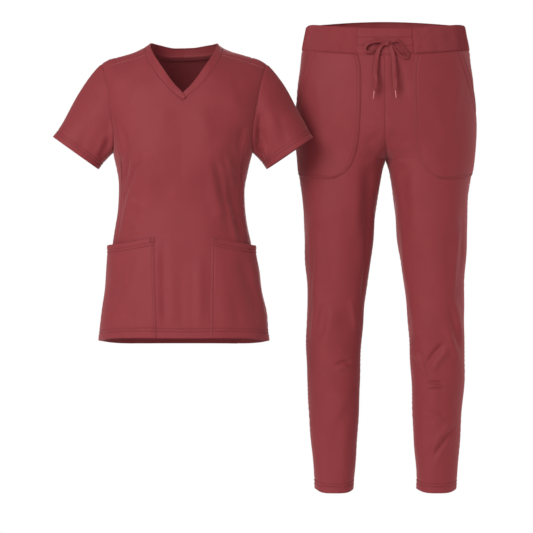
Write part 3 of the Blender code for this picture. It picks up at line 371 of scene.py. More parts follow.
def side_seam_place(shares, side):
    """The side seam as (round_, down): all of it at the side, its heights a straight blend from
    the hem to the armpit."""
    z = (TOP_HEM_FRONT + TOP_HEM_BACK) / 2 * (1 - shares) + ARMPIT * shares
    down = top_place(top_half_width(z), z, side)[:, 1]
    return np.stack([np.ones(len(shares)), down], -1)


def grid_normals(points, facing):
    """Unit normals of a grid, from the differences across and upwards, on the side that looks
    the given way."""
    normal = unit(np.cross(np.gradient(points, axis=1), np.gradient(points, axis=0)))
    return normal * np.sign((normal * facing).sum())


def creases(x, z, folds):
    """How far the folds of a table raise the cloth. Each one runs downwards and is a bell across
    its line, wider on one side than on the other. It fades at both ends and bends on the way."""
    rise = np.zeros(np.shape(x))
    for x0, z0, x1, z1, bend, left, right, height in np.array(folds) / 1000:
        length = math.hypot(x1 - x0, z1 - z0)
        dx, dz = (x1 - x0) / length, (z1 - z0) / length
        way = ((x - x0) * dx + (z - z0) * dz) / length
        off = (z - z0) * dx - (x - x0) * dz - bend * 4 * way * (1 - way)
        fade = eased(np.clip(way / 0.3, 0, 1)) * eased(np.clip((1 - way) / 0.3, 0, 1))
        rise += height * fade * bell(off, np.where(off < 0, left, right))
    return rise


def drift(points, height=0.0007):
    """A soft unevenness in space: the sum of five slanted sine waves, 58 to 87 mm long."""
    waves = np.array([
        (61.0, 23.0, 31.0), (-43.0, 35.0, 52.0), (29.0, -58.0, 44.0), (75.0, 41.0, -22.0),
        (-18.0, 67.0, 83.0),
    ])
    phases = np.array([0.4, 2.1, 4.0, 5.2, 1.3])
    return height * np.sin(points @ waves.T + phases).sum(-1) / 2


def edge_distances(points):
    """Each point's way to the left, right, lower and upper edge, along its row or column."""
    across = np.linalg.norm(np.diff(points, axis=1), axis=-1)
    up = np.linalg.norm(np.diff(points, axis=0), axis=-1)
    rows, columns = points.shape[:2]
    left = np.hstack([np.zeros((rows, 1)), np.cumsum(across, axis=1)])
    low = np.vstack([np.zeros((1, columns)), np.cumsum(up, axis=0)])
    return {"left": left, "right": left[:, -1:] - left, "low": low, "high": low[-1:] - low}


def seam_form(away, edges, roll=SEAM_ROLL, pucker=0.0005, phase=0.0):
    """The cloth beside its seams: it rolls in at the edge, a bell 2 mm wide, and puckers along
    it. The puckers are a sine along the edge that starts 3 mm in and dies away over 12 mm."""
    form = 0.0
    for number, edge in enumerate(edges):
        way = away["low"] if edge in ("left", "right") else away["left"]
        wave = np.sin(way * 520 + 3 * np.sin(way * 61 + number) + phase + number)
        gate = 0.5 + 0.5 * np.sin(way * 37 + 2 * number + phase)
        near = np.exp(-away[edge] / 0.012) * (1 - bell(away[edge], 0.003))
        form = form - roll * bell(away[edge], 0.0020) + pucker * wave * gate * near
    return form


def hem_form(way, depth, rise=0.0005, gap=ROW_GAP):
    """A turned-up hem: a flat band a little proud of the cloth, with a groove, a bell 1.3 mm
    wide, under each of its two rows of stitches."""
    band = 0.5 - 0.5 * np.tanh((way - depth) / 0.0012)
    grooves = bell(way - depth, 0.0013) + bell(way - depth + gap, 0.0013)
    return rise * band - 0.0011 * grooves


def mirrored(grid):
    """The same grid on the other side of x = 0, with its columns in the opposite order."""
    return (grid * np.array([-1.0, 1.0, 1.0]))[:, ::-1]


def both_halves(grid):
    """The mirror image of a right half and the half itself, joined at their centre column."""
    return np.hstack([mirrored(grid)[:, :-1], grid])


def leaning(grid):
    """The body's lean: each height moves sideways by its row of the table."""
    return grid + section(TOP_LEAN, 1, grid[..., 2])[..., None] * np.array([1.0, 0.0, 0.0])


def body_grid(places):
    """Points of the top's smooth body and its outward normals there, which are crossed from the
    differences round and down the body. At the side seam the cloth faces straight outwards."""
    round_, down = places[..., 0], places[..., 1]
    turn, step = 0.0032, 0.0008
    across = top_surface(round_ + turn, down) - top_surface(round_ - turn, down)
    ahead = top_surface(round_, down + step) - top_surface(round_, down - step)
    flip = np.where(down < 0, -1.0, 1.0)[..., None]
    ahead, across = ahead * flip, across * flip
    side = np.stack([-ahead[..., 2], 0 * round_, ahead[..., 0]], -1)
    normal = np.where((round_ > 0.999)[..., None], side, np.cross(ahead, across))
    return top_surface(round_, down), unit(normal)


def top_cloth(points, normal, relief):
    """The finished cloth of a panel of the top and its outward normals: the smooth grid, raised
    by its folds, its soft drift, its seams and its hem, and leaning with the body."""
    away = edge_distances(points)
    form = relief(points) + drift(points) + seam_form(away, ("left", "right", "high"))
    form = form + hem_form(away["low"], HEM_DEPTH)
    raised = leaning(points + normal * form[..., None])
    return raised, grid_normals(raised, normal)


def cut_piece(name, points, normals, material, thick=CLOTH_THICK, closed=False, keep=None):
    """One cut piece: a mesh over the grid, facing outwards, with its own map in metres, given its
    thickness inwards by a Solidify modifier. A closed grid joins its last column to its first,
    and keep says which of its cells there are."""
    rows, columns = points.shape[:2]
    index = np.arange(rows * columns).reshape(rows, columns)
    if closed:
        index = np.hstack([index, index[:, :1]])
    cells = np.stack([index[:-1, :-1], index[:-1, 1:], index[1:, 1:], index[1:, :-1]], -1)
    turn = np.cross(np.gradient(points, axis=1), np.gradient(points, axis=0))
    if (turn * normals).sum() < 0:
        cells = cells[..., ::-1]
    cells = (cells if keep is None else cells[keep]).reshape(-1, 4)
    used, cells = np.unique(cells, return_inverse=True)
    cells = cells.reshape(-1, 4)
    mesh = bpy.data.meshes.new(name)
    mesh.from_pydata(points.reshape(-1, 3)[used].tolist(), [], cells.tolist())
    away = edge_distances(points)
    middle = away["left"][:, columns // 2][:, None]
    cut = np.stack([away["left"] - middle, away["low"]], -1).reshape(-1, 2)[used]
    layer = mesh.uv_layers.new(name="cut")
    layer.data.foreach_set("uv", cut[cells.reshape(-1)].astype(np.float32).ravel())
    mesh.polygons.foreach_set("use_smooth", np.ones(len(cells), bool))
    mesh.materials.append(material)
    piece = bpy.data.objects.new(name, mesh)
    bpy.context.scene.collection.objects.link(piece)
    if thick:
        wall = piece.modifiers.new("thickness", "SOLIDIFY")
        wall.thickness = thick
        wall.offset = -1.0
    return piece


def flat_area(points):
    """The area of the cloth, cell by cell, as the length of the cross product of its sides."""
    across, up = np.diff(points, axis=1)[:-1], np.diff(points, axis=0)[:, :-1]
    return float(np.linalg.norm(np.cross(across, up), axis=-1).sum())


def belongs(piece, slot, *cad_nodes):
    """The piece moves with the one body and hides the CAD nodes that it stands for. slot is not
    used.
    """
    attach(piece, "root")
    if cad_nodes:
        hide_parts(*cad_nodes)


def sewn_sheet(piece, cad_node, points, slot="cloth"):
    """A cut piece that moves with the one body, with the CAD node it stands for hidden. Its area
    and its length are worked out and not used."""
    belongs(piece, slot, cad_node)
    area = flat_area(points)
    length = float(np.linalg.norm(np.diff(points, axis=0), axis=-1).sum(0).max())


def top_panel(name, cad_node, grids, relief, keep=None):
    """A panel of the top as a piece, from its smooth grid and normals. Gives the cloth back."""
    cloth = top_cloth(*grids, relief)
    sewn_sheet(cut_piece(name, *cloth, scrub_cloth, keep=keep), cad_node, cloth[0])
    return cloth


def sewn_flat(points, seam):
    """How free the cloth is to fold: 0 on a seam and 1 well away from it, as one less a bell
    14 mm wide of the way, across plus up, to the nearest of the seam's points."""
    away = np.abs(points[..., None, 0] - seam[:, 0]) + np.abs(points[..., None, 2] - seam[:, 2])
    return 1 - bell(away.min(axis=-1), 0.014)


def top_relief(points, folds, armhole):
    """The folds of the body, at full height in the middle and none at the side seams and at the
    armholes."""
    x, z = points[..., 0], points[..., 2]
    across = np.abs(x) / top_half_width(z)
    side = points * np.stack([np.sign(x), 0 * x + 1, 0 * x + 1], -1)
    free = sewn_flat(side, armhole) * np.clip((1 - across**8) * 1.2, 0, 1)
    return creases(x, z, folds) * free


armhole_steps = np.linspace(0, ARMHOLE_LAST, 49)
front_armhole = body_grid(armhole_place(ARMHOLE_FRONT, armhole_steps, 1))[0]


def front_relief(points):
    """The folds of the front, which end at the armhole's seam."""
    return top_relief(points, FRONT_FOLDS, front_armhole)


def centre_front_places(columns):
    """The right half of the centre front as (round_, down), between its hem, its neckline and
    shoulder seam, the centre, and the princess seam and armhole."""
    rise = (body_rows[body_rows > LOW_SHARE] - LOW_SHARE) / (1 - LOW_SHARE)
    armhole = armhole_place(ARMHOLE_FRONT, ARMHOLE_PRINCESS * (1 - rise), 1)
    outer = np.vstack([front_princess, armhole])
    neck = along(NECKLINE_FRONT, columns[columns <= NECK_SHARE] / NECK_SHARE)
    over = (columns[columns > NECK_SHARE] - NECK_SHARE) / (1 - NECK_SHARE)
    shoulder_x = FORWARD_SEAM_NECK[0] + (FORWARD_SEAM_ARM[0] - FORWARD_SEAM_NECK[0]) * over
    upper = np.vstack([top_place(neck[:, 0], neck[:, 1], 1), shoulder_place(shoulder_x)])
    outer[-1] = upper[-1]
    height = TOP_HEM_FRONT + (NECKLINE_FRONT[0][1] - TOP_HEM_FRONT) * body_rows
    centre = top_place(0 * body_rows, height, 1)
    return patch(columns, body_rows, hem_place(columns * outer[0, 0], 1), upper, centre, outer)


def side_front_places(columns):
    """The right side front as (round_, down), between its hem, the armhole, the princess seam and
    the side seam."""
    steps = ARMHOLE_PRINCESS + (ARMHOLE_LAST - ARMHOLE_PRINCESS) * columns
    armhole = armhole_place(ARMHOLE_FRONT, steps, 1)
    side_seam = side_seam_place(front_side_rows, 1)
    side_seam[-1] = armhole[-1]
    hem = hem_place(front_princess[0, 0] + (1 - front_princess[0, 0]) * columns, 1)
    return patch(columns, front_side_rows, hem, armhole, front_princess, side_seam)


front_hem_rows = groove_stops(HEM_DEPTH, NECKLINE_FRONT[0][1] - TOP_HEM_FRONT)
body_rows = crowded(140, ends=8, near=0.05, stops=(LOW_SHARE, *front_hem_rows))
front_side_rows = body_rows[body_rows <= LOW_SHARE] / LOW_SHARE
princess_end = armhole_place(ARMHOLE_FRONT, np.array([float(ARMHOLE_PRINCESS)]), 1)[0]
front_princess = princess_place(PRINCESS_FRONT, 1, front_side_rows, princess_end)
front_columns = crowded(44, stops=(NECK_SHARE,))
beside_neck = int((front_columns > NECK_SHARE).sum())
neck_span = slice(beside_neck, -beside_neck)
right_half = body_grid(centre_front_places(front_columns))
centre_front = top_panel("centre_front", "top_front", map(both_halves, right_half), front_relief)
right_side = body_grid(side_front_places(crowded(14, near=0.20)))
side_fronts = {
    side: top_panel("side_front_" + side, "top_front_side_" + side, grids, front_relief)
    for side, grids in (("right", right_side), ("left", map(mirrored, right_side)))
}

# ----------------------------------------------------------------------
# The back of the top: a centre back and two side backs, with the same kind of shaped seams. They
# reach over the shoulders and end in the forward shoulder seams.
# ----------------------------------------------------------------------
FORWARD_SEAM_TURN = 0.146
TIP_SHARE = 0.90
RIDGE_SHARE = 0.94
SIDE_ROWS_SHARE = 0.62
UNDER_NECK_SHARE = 0.66
BACK_LENGTH = 0.66
# share of the way round to the side, height of the back armhole up to the shoulder tip
ARMHOLE_BACK = (
    (1.000, ARMPIT), (0.870, -0.221), (0.802, -0.205), (0.757, -0.180), (0.727, -0.150),
    (0.705, -0.110), (0.703, -0.075), (0.716, -0.050), (0.729, -0.0402),
)
# height, distance from the centre of the back princess seam
PRINCESS_BACK = (
    (-0.660, 0.1150), (-0.500, 0.0980), (-0.340, 0.0820), (-0.230, 0.0980), (-0.120, 0.1250),
    (-0.040, 0.1440), (-0.023, 0.1455),
)
# distance from the centre, height of the back neckline, up to the ridge
NECKLINE_BACK = (
    (0.0000, -0.0200), (0.0300, -0.0188), (0.0550, -0.0155), (0.0720, -0.0110), (0.0815, -0.0066),
    (0.0862, -0.0038),
)
# Folds of the back, as seen from the front, in millimetres, in the columns of the front's table
BACK_FOLDS = (
    (-60, -300, -128, -372, 3, 10, 14, 3.8),
    (52, -296, 124, -366, -4, 12, 10, 3.6),
    (-34, -352, -118, -404, 2, 9, 12, -3.1),
    (44, -362, 126, -418, -2, 11, 9, 2.9),
    (-6, -330, 10, -410, 4, 16, 20, -2.6),
    (-88, -120, -128, -228, 3, 11, 15, 3.4),
    (94, -112, 134, -222, -4, 14, 11, 3.1),
    (-70, -190, -134, -262, 2, 9, 9, -2.6),
    (76, -196, 136, -258, -2, 8, 10, -2.9),
    (-26, -60, -66, -190, 5, 18, 16, 2.2),
    (30, -58, 74, -200, -4, 15, 19, 2.0),
    (-84, -440, -102, -634, 2, 13, 17, 3.1),
    (-40, -460, -46, -632, -2, 15, 12, -2.9),
    (6, -450, 2, -630, 2, 17, 15, 2.9),
    (50, -446, 58, -634, -2, 12, 16, -2.6),
    (94, -430, 110, -632, 2, 15, 13, 3.1),
    (-112, -420, -138, -560, -3, 11, 9, 2.4),
    (124, -424, 144, -580, 3, 9, 12, 2.3),
)

back_armhole = body_grid(armhole_place(ARMHOLE_BACK, armhole_steps, -1))[0]


def back_relief(points):
    """The folds of the back, which end at the armhole's seam."""
    return top_relief(points, BACK_FOLDS, back_armhole)


def back_princess_place(shares):
    """From the hem up the back and over the ridge to the forward shoulder seam. The share where
    it crosses the ridge is fixed."""
    hem = hem_place(top_place(section(PRINCESS_BACK, 1, TOP_HEM_BACK), TOP_HEM_BACK, -1)[:1], -1)
    end = shoulder_place(np.array([FORWARD_SEAM_TURN]))[0]
    z = TOP_HEM_BACK + (PRINCESS_BACK[-1][0] - TOP_HEM_BACK) * shares / RIDGE_SHARE
    behind = top_place(section(PRINCESS_BACK, 1, z), z, -1)
    behind = behind + np.outer(np.clip(1 - shares / RIDGE_SHARE, 0, 1) ** 4, hem[0] - behind[0])
    ridge = np.array([(behind[-1, 0] + end[0]) / 2, 0.0])
    over = np.clip((shares - RIDGE_SHARE) / (1 - RIDGE_SHARE), 0, 1)[:, None]
    near = np.clip((shares / RIDGE_SHARE - 0.9) / 0.1, 0, 1)[:, None]
    last = top_place(section(PRINCESS_BACK, 1, PRINCESS_BACK[-1][0]), PRINCESS_BACK[-1][0], -1)
    behind = behind + near**2 * (ridge - last)
    return np.where(shares[:, None] <= RIDGE_SHARE, behind, ridge + over * (end - ridge))


def back_armhole_place(shares):
    """From the armpit up the back armhole, over the shoulder tip to the forward seam."""
    behind = armhole_place(ARMHOLE_BACK, ARMHOLE_LAST * np.clip(shares / TIP_SHARE, 0, 1), -1)
    near = np.clip((shares / TIP_SHARE - 0.8) / 0.2, 0, 1)
    last = armhole_place(ARMHOLE_BACK, np.array([float(ARMHOLE_LAST)]), -1)[0]
    behind[:, 1] -= near**2 * last[1]
    tip = np.array([ARMHOLE_BACK[-1][0], 0.0])
    end = shoulder_place(np.array([FORWARD_SEAM_ARM[0]]))[0]
    over = np.clip((shares - TIP_SHARE) / (1 - TIP_SHARE), 0, 1)[:, None]
    return np.where(shares[:, None] <= TIP_SHARE, behind, tip + over * (end - tip))


def side_back_places(columns):
    """The right side back as (round_, down), between its hem, the shoulder seam, the princess
    seam, and the side seam with the armhole above it."""
    low = back_rows[back_rows <= SIDE_ROWS_SHARE] / SIDE_ROWS_SHARE
    high = (back_rows[back_rows > SIDE_ROWS_SHARE] - SIDE_ROWS_SHARE) / (1 - SIDE_ROWS_SHARE)
    outer = np.vstack([side_seam_place(low, -1), back_armhole_place(high)])
    hem = hem_place(back_princess[0, 0] + (1 - back_princess[0, 0]) * columns, -1)
    shoulder_x = FORWARD_SEAM_TURN + (FORWARD_SEAM_ARM[0] - FORWARD_SEAM_TURN) * columns
    return patch(columns, back_rows, hem, shoulder_place(shoulder_x), back_princess, outer)


def back_neck_place(shares):
    """The back neckline as (round_, down), from the centre up to the shoulder ridge."""
    neck = along(NECKLINE_BACK, shares)
    neck = top_place(neck[:, 0], neck[:, 1], -1)
    neck[:, 1] -= shares**6 * neck[-1, 1]
    return neck


def centre_back_places(neck_columns, shoulder_columns):
    """The right half of the centre back as (round_, down): the part under the neckline, the part
    beside it up to the ridge, and a strip from the ridge to the forward seam. Filler over the
    neckline makes the grid whole."""
    neck = back_neck_place(neck_columns)
    rows = back_rows[:back_neck_rows] / RIDGE_SHARE
    princess = back_princess[:back_neck_rows]
    split = princess[0, 0] * UNDER_NECK_SHARE
    inner_hem = hem_place(neck_columns * split, -1)
    outer_hem = hem_place(split + (princess[0, 0] - split) * shoulder_columns, -1)
    middle = inner_hem[0] + rows[:, None] * (neck[0] - inner_hem[0])
    between = inner_hem[-1] + rows[:, None] * (neck[-1] - inner_hem[-1])
    ridge = neck[-1] + shoulder_columns[:, None] * (princess[-1] - neck[-1])
    under = patch(neck_columns, rows, inner_hem, neck, middle, between)
    beside = patch(shoulder_columns, rows, outer_hem, ridge, between, princess)
    shoulder_x = FORWARD_SEAM_TURN - FORWARD_SEAM_NECK[0]
    forward = shoulder_place(FORWARD_SEAM_NECK[0] + shoulder_x * shoulder_columns)
    over = (back_rows[back_neck_rows:] - RIDGE_SHARE) / (1 - RIDGE_SHARE)
    strip = ridge[None] + over[:, None, None] * (forward - ridge)[None]
    strip[:, -1] = back_princess[back_neck_rows:]
    filler = np.repeat(neck[None, :-1], len(over), axis=0)
    return np.vstack([np.hstack([under[:, :-1], beside]), np.hstack([filler, strip])])


back_hem_rows = groove_stops(HEM_DEPTH, BACK_LENGTH)
back_rows = crowded(118, ends=8, near=0.03, stops=(SIDE_ROWS_SHARE, RIDGE_SHARE, *back_hem_rows))
back_neck_rows = int((back_rows <= RIDGE_SHARE).sum())
back_princess = back_princess_place(back_rows)
right_side = body_grid(side_back_places(crowded(24, near=0.12)))
side_backs = {
    side: top_panel("side_back_" + side, "top_back_side_" + side, grids, back_relief)
    for side, grids in (("right", right_side), ("left", map(mirrored, right_side)))
}
shoulder_columns = crowded(20, near=0.05)
right_half = body_grid(centre_back_places(crowded(26, near=0.0), shoulder_columns))
right_half = [both_halves(grid) for grid in right_half]
back_span = slice(len(shoulder_columns) - 1, 1 - len(shoulder_columns))
keep = np.ones(np.array(right_half[0].shape[:2]) - 1, bool)
keep[back_neck_rows - 1 :, back_span] = False
centre_back = top_panel("centre_back", "top_back", right_half, back_relief, keep)

# ----------------------------------------------------------------------
# The sleeves: one short tube each, set into the armhole and turned up at the hem, where two rows
# of stitching hold it. The cloth creases where it runs into the armpit.
# ----------------------------------------------------------------------
SLEEVE_HEM_CENTRE = (0.2305, -0.2305)
SLEEVE_HEM_UP = (0.0493, 0.0345)
SLEEVE_HEM_DEPTH = 0.049
SLEEVE_LEAVES_TOP = (0.76, 0.0, -0.65)
SLEEVE_LEAVES_ARMPIT = (0.74, 0.0, -0.67)
SLEEVE_ARRIVES = (0.573, 0.0, -0.819)
SLEEVE_HEM_FOLD = 0.0175
# the share of the armhole's ring that lies in front
FRONT_SHARE = 0.50
# Folds of the sleeves in millimetres, in the columns of the front's table. Those of the left
# sleeve are given on the left, those of the right one on the right.
SLEEVE_FRONT_FOLDS = (
    (-142, -138, -176, -226, 5, 8, 13, -2.6),
    (-148, -176, -190, -250, -4, 7, 9, 2.2),
    (-150, -196, -182, -246, 2, 8, 9, -2.4),
    (-170, -94, -214, -196, 6, 14, 17, 2.3),
    (-196, -150, -226, -236, 2, 9, 11, -1.7),
    (146, -150, 176, -232, -4, 9, 7, -3.4),
    (150, -180, 186, -252, 3, 7, 6, 3.6),
    (148, -200, 178, -252, -2, 5, 5, -4.7),
    (158, -136, 166, -236, 3, 9, 14, -7.5),
    (160, -172, 166, -246, 2, 8, 12, -5.5),
    (-152, -150, -160, -238, -2, 13, 12, -2.9),
    (172, -92, 212, -200, -6, 17, 13, 2.5),
    (200, -140, 232, -236, -2, 11, 9, -1.8),
)
SLEEVE_BACK_FOLDS = (
    (-150, -150, -184, -238, 5, 8, 10, -2.4),
    (-146, -186, -178, -250, -3, 6, 6, 2.4),
    (-176, -100, -222, -206, 6, 14, 12, 1.8),
    (148, -144, 190, -236, -5, 9, 9, -2.2),
    (146, -188, 180, -250, 3, 6, 7, 2.6),
    (170, -104, 218, -214, -6, 13, 15, 1.7),
)


def armhole_ring(shares):
    """The whole right armhole as (round_, down): down the front, through the armpit, up the back
    and over the shoulder tip to the forward seam, where it closes. shares run from 0 to 1."""
    down_front = np.clip(shares / FRONT_SHARE, 0, 1)
    front = armhole_place(ARMHOLE_FRONT, ARMHOLE_LAST * down_front, 1)
    start = shoulder_place(np.array([FORWARD_SEAM_ARM[0]]))[0] - front[0]
    front = front + np.outer(np.clip(1 - 6 * down_front, 0, 1) ** 2, start)
    behind = back_armhole_place(np.clip((shares - FRONT_SHARE) / (1 - FRONT_SHARE), 0, 1))
    return np.where((shares < FRONT_SHARE)[:, None], front, behind)


def sleeve_grid(shares, ways):
    """The right sleeve: each ring lies part of the way from the armhole to an oval hem, on cubic
    curves that leave the one and arrive at the other in set directions."""
    start = body_grid(armhole_ring(shares))[0]
    middle = start[:-1].mean(0)
    turn = np.arctan2(-(start[:, 1] - middle[1]), start[:, 2] - middle[2])
    centre = np.array([SLEEVE_HEM_CENTRE[0], 0.0, SLEEVE_HEM_CENTRE[1]])
    up = np.array([SLEEVE_HEM_UP[0], 0.0, SLEEVE_HEM_UP[1]])
    fore = np.array([0.0, -SLEEVE_HEM_DEPTH, 0.0])
    end = centre + np.cos(turn)[:, None] * up + np.sin(turn)[:, None] * fore
    reach = np.linalg.norm(end - start, axis=1)[:, None]
    high = (1 + np.cos(turn))[:, None] / 2
    leave = unit(high * np.array(SLEEVE_LEAVES_TOP) + (1 - high) * np.array(SLEEVE_LEAVES_ARMPIT))
    t = ways[:, None, None]
    points = (1 - eased(t)) * start + eased(t) * end + t * (1 - t) ** 2 * reach * leave
    return points + t * t * (t - 1) * reach * unit(np.array(SLEEVE_ARRIVES))


def sleeve_relief(points, facing, away):
    """How far the sleeve's cloth is raised: the folds of its front and of its back, each where
    it faces that way and none on the armhole's seam, the drift, the seam and the hem, and a soft
    swell below the armhole's seam that dies away in 14 mm."""
    x, z = points[..., 0], points[..., 2]
    forwards = np.clip(-facing[..., 1] * 1.6, -1, 1)
    folds = creases(x, z, SLEEVE_FRONT_FOLDS) * np.clip(forwards, 0, 1)
    folds = folds + creases(x, z, SLEEVE_BACK_FOLDS) * np.clip(-forwards, 0, 1)
    form = folds * (1 - bell(away["high"], 0.010)) + drift(points) + seam_form(away, ("high",))
    return form + hem_form(away["low"], SLEEVE_HEM_FOLD) + 0.0009 * np.exp(-away["high"] / 0.014)


def sleeve_cloth(points, facing, place, outward):
    """The finished sleeve and its outward normals. Close to the armhole, over a bell 3.5 mm wide,
    it is drawn on to the body's own seam, whose points and normals are given too."""
    away = edge_distances(points)
    form = sleeve_relief(points, facing, away)
    held = bell(away["high"], 0.0035)[..., None]
    seam = place + outward * (drift(place) - SEAM_ROLL)[..., None]
    cloth = leaning((points + facing * form[..., None]) * (1 - held) + seam * held)
    return cloth, grid_normals(cloth, facing)


ring_shares = np.linspace(0, 1, 161)
tube = sleeve_grid(ring_shares, crowded(42, ends=14, near=0.22)[::-1])
lapped = np.concatenate([tube[:, -2:-1], tube, tube[:, 1:2]], axis=1)
tube_normal = grid_normals(lapped, lapped - lapped.mean(axis=(0, 1)))[:, 1:-1]
armhole_seam = [grid[None] for grid in body_grid(armhole_ring(ring_shares))]
right_sleeve = tube, tube_normal, *armhole_seam
sleeves = {}
for side, grids in (("right", right_sleeve), ("left", map(mirrored, right_sleeve))):
    sleeves[side] = sleeve_cloth(*grids)
    open_tube = (grid[:, :-1] for grid in sleeves[side])
    piece = cut_piece("sleeve_" + side, *open_tube, scrub_cloth, closed=True)
    sewn_sheet(piece, "top_sleeve_" + side, sleeves[side][0])

# ----------------------------------------------------------------------
# The neckband: one folded band in three lengths, joined at the shoulders. It ends in a V, where
# the left end laps over the right one.
# ----------------------------------------------------------------------
BAND_THICK = 0.0021
NECK_FORWARD_SHARE = 0.590
V_LAP_SHARE = 0.083
V_LAP_LIFT = 0.0012
# the neckband's free edge from the point of the V to the centre back: across, depth, height
NECK_EDGE = (
    (0.0000, -0.0985, -0.1035), (0.0200, -0.0915, -0.0832), (0.0454, -0.0725, -0.0472),
    (0.0598, -0.0545, -0.0262), (0.0697, -0.0315, -0.0082), (0.0730, -0.0080, 0.0048),
    (0.0694, 0.0150, 0.0074), (0.0590, 0.0370, 0.0056), (0.0410, 0.0510, 0.0026),
    (0.0210, 0.0575, -0.0004), (0.0000, 0.0595, -0.0014),
)


def band_cloth(seam, edge, normal, shares, lift=0.0, side=1.0):
    """A length of the band between its seam and its free edge. It follows the body's drift, is
    crowned across by 0.6 mm, rolls over at both edges and ripples where it is sewn on."""
    grid = seam[:, None] + shares[None, :, None] * (edge - seam)[:, None]
    out = grid - np.array([0.0, -0.01, -0.08])
    facing = grid_normals(grid, out)
    away = edge_distances(grid)
    crown = 0.0024 * shares * (1 - shares) - 0.0012 * bell(away["right"], 0.0012)
    ripple = np.sin(away["low"] * 430 + 2 * np.sin(away["low"] * 57))
    form = crown - 0.0008 * bell(away["left"], 0.0014)
    form = form + 0.00022 * ripple * np.exp(-away["left"] / 0.004) + lift
    soft = drift(seam * np.array([side, 1.0, 1.0]))[:, None]
    moved = grid + facing * form[..., None] + (normal * soft)[:, None]
    sewn = seam + normal * (soft - SEAM_ROLL)
    held = bell(away["left"], 0.0018)[..., None]
    return leaning(moved * (1 - held) + sewn[:, None] * held), facing


def front_bands():
    """The right and the left length of the band, each from the V to the shoulder. At the V the
    right one lies a little under. The left one's free edge there runs straight across to the
    right half of the neckline, so that its end laps over."""
    neck = along(NECKLINE_FRONT, band_rows)
    seam, normal = body_grid(top_place(neck[:, 0], neck[:, 1], 1))
    edge = along(NECK_EDGE, band_rows * NECK_FORWARD_SHARE)
    under = -V_LAP_LIFT * np.clip(1 - band_rows / V_LAP_SHARE, 0, 1)
    over = V_LAP_LIFT * np.clip(1.6 - band_rows / V_LAP_SHARE, 0, 1)
    (lap_x, lap_z), = along(NECKLINE_FRONT, [V_LAP_SHARE])
    end = body_grid(top_place(np.array([-lap_x]), np.array([lap_z]), 1))[0][0]
    beyond = along(NECK_EDGE, [2 * V_LAP_SHARE * NECK_FORWARD_SHARE])[0]
    join = np.clip(band_rows / (2 * V_LAP_SHARE), 0, 1)[:, None]
    lapped = np.where(join < 1, end + join * (beyond - end), edge)
    right = band_cloth(seam, edge, normal, band_shares, under[:, None])
    left = band_cloth(seam, lapped, normal, band_shares, over[:, None], side=-1.0)
    return right, tuple(map(mirrored, left))


def back_neck_seam():
    """The back length's seam, its free edge and the outward normals, from one forward shoulder
    seam round to the other, and the length of half of it."""
    neck = back_neck_place(band_rows)
    start = shoulder_place(np.array([FORWARD_SEAM_NECK[0]]))[0]
    over = np.linspace(0, 1, 9)[:-1, None]
    seam, normal = body_grid(np.vstack([start + over * (neck[-1] - start), neck[::-1]]))
    way = run_along(seam)
    edge = along(NECK_EDGE, NECK_FORWARD_SHARE + (1 - NECK_FORWARD_SHARE) * way / way[-1])
    flip = np.array([-1.0, 1.0, 1.0])
    return *(np.vstack([half, half[-2::-1] * flip]) for half in (seam, edge, normal)), way[-1]


band_shares = crowded(11, near=0.16)
band_rows = np.linspace(0, 1, 71)
right_band, left_band = front_bands()
seam, edge, normal, half_length = back_neck_seam()
back_band = band_cloth(seam, edge, normal, band_shares)
for name, band in (("right", right_band), ("left", left_band), ("back", back_band)):
    piece = cut_piece("neckband_" + name, *band, scrub_cloth, thick=BAND_THICK)
    sewn_sheet(piece, "top_neckband_" + name, band[0])

# The neck tape, a narrow strip of the cloth that covers the back neck's seam on the inside. It
# lies across the seam from just above it, under the body's cloth, and sags a little downwards.
TAPE_WIDTH = 0.0092
TAPE_ABOVE = 0.12
TAPE_THICK = 0.0006
down_in = unit(np.cross(unit(np.gradient(seam, axis=0)), normal))
down_in = down_in * np.sign((down_in * (seam - edge)).sum())
tape_shares = np.linspace(-TAPE_ABOVE, 1.0, 10)[None, :, None]
sag = CLOTH_THICK + 0.0019 + 0.0006 * tape_shares**2 - 0.0004 * bell(tape_shares - 1, 0.1)
tape = seam[:, None] + down_in[:, None] * tape_shares * TAPE_WIDTH
tape = leaning(tape + normal[:, None] * (drift(seam)[:, None, None] - SEAM_ROLL - sag))
inwards = np.broadcast_to(-normal[:, None], tape.shape)
piece = cut_piece("neck_tape", tape, inwards, scrub_cloth, thick=TAPE_THICK)
belongs(piece, "cloth")

# ----------------------------------------------------------------------
# The two patch pockets of the top: sewn on at the inner edge and the hem, and caught in the side
# seam. The slanting mouth is hemmed and stands away from the body near the side.
# ----------------------------------------------------------------------
LAYER = 0.0010
# distance of the sewn inner edge from the centre, at the hem and at the mouth
TOP_POCKET_INNER = {"right": (0.0575, 0.0655), "left": (0.0546, 0.0551)}
TOP_POCKET_TOP_INNER = -0.4115
TOP_POCKET_TOP_OUTER = -0.4310
TOP_POCKET_HEM = 0.001
TOP_POCKET_GAPE = 0.0090
TOP_POCKET_MOUTH_HEM = 0.0170
# how far the outer of the two rows that sew a patch on is from its edge, and the inner from it
TOP_POCKET_ROW = 0.0066
PATCH_ROW_GAP = 0.0044
POCKET_SIDE_SHARE = 0.997
POCKET_BAG_WIDEST = 0.86
POCKET_BAG_ROUNDING = 2.2
POCKET_BAG_OPENING = 5.0
# Folds of the pockets in millimetres, in the columns of the front's table
TOP_POCKET_FOLDS = (
    (-76, -440, -134, -572, 4, 14, 18, 3.6),
    (-120, -452, -152, -560, 2, 9, 8, -2.2),
    (-88, -520, -96, -628, 0, 11, 14, 2.0),
    (136, -446, 176, -622, 6, 9, 12, 4.8),
    (120, -440, 156, -600, 5, 10, 9, -3.1),
    (84, -460, 96, -626, -3, 14, 17, 2.2),
    (104, -520, 122, -628, 2, 8, 9, -1.4),
)


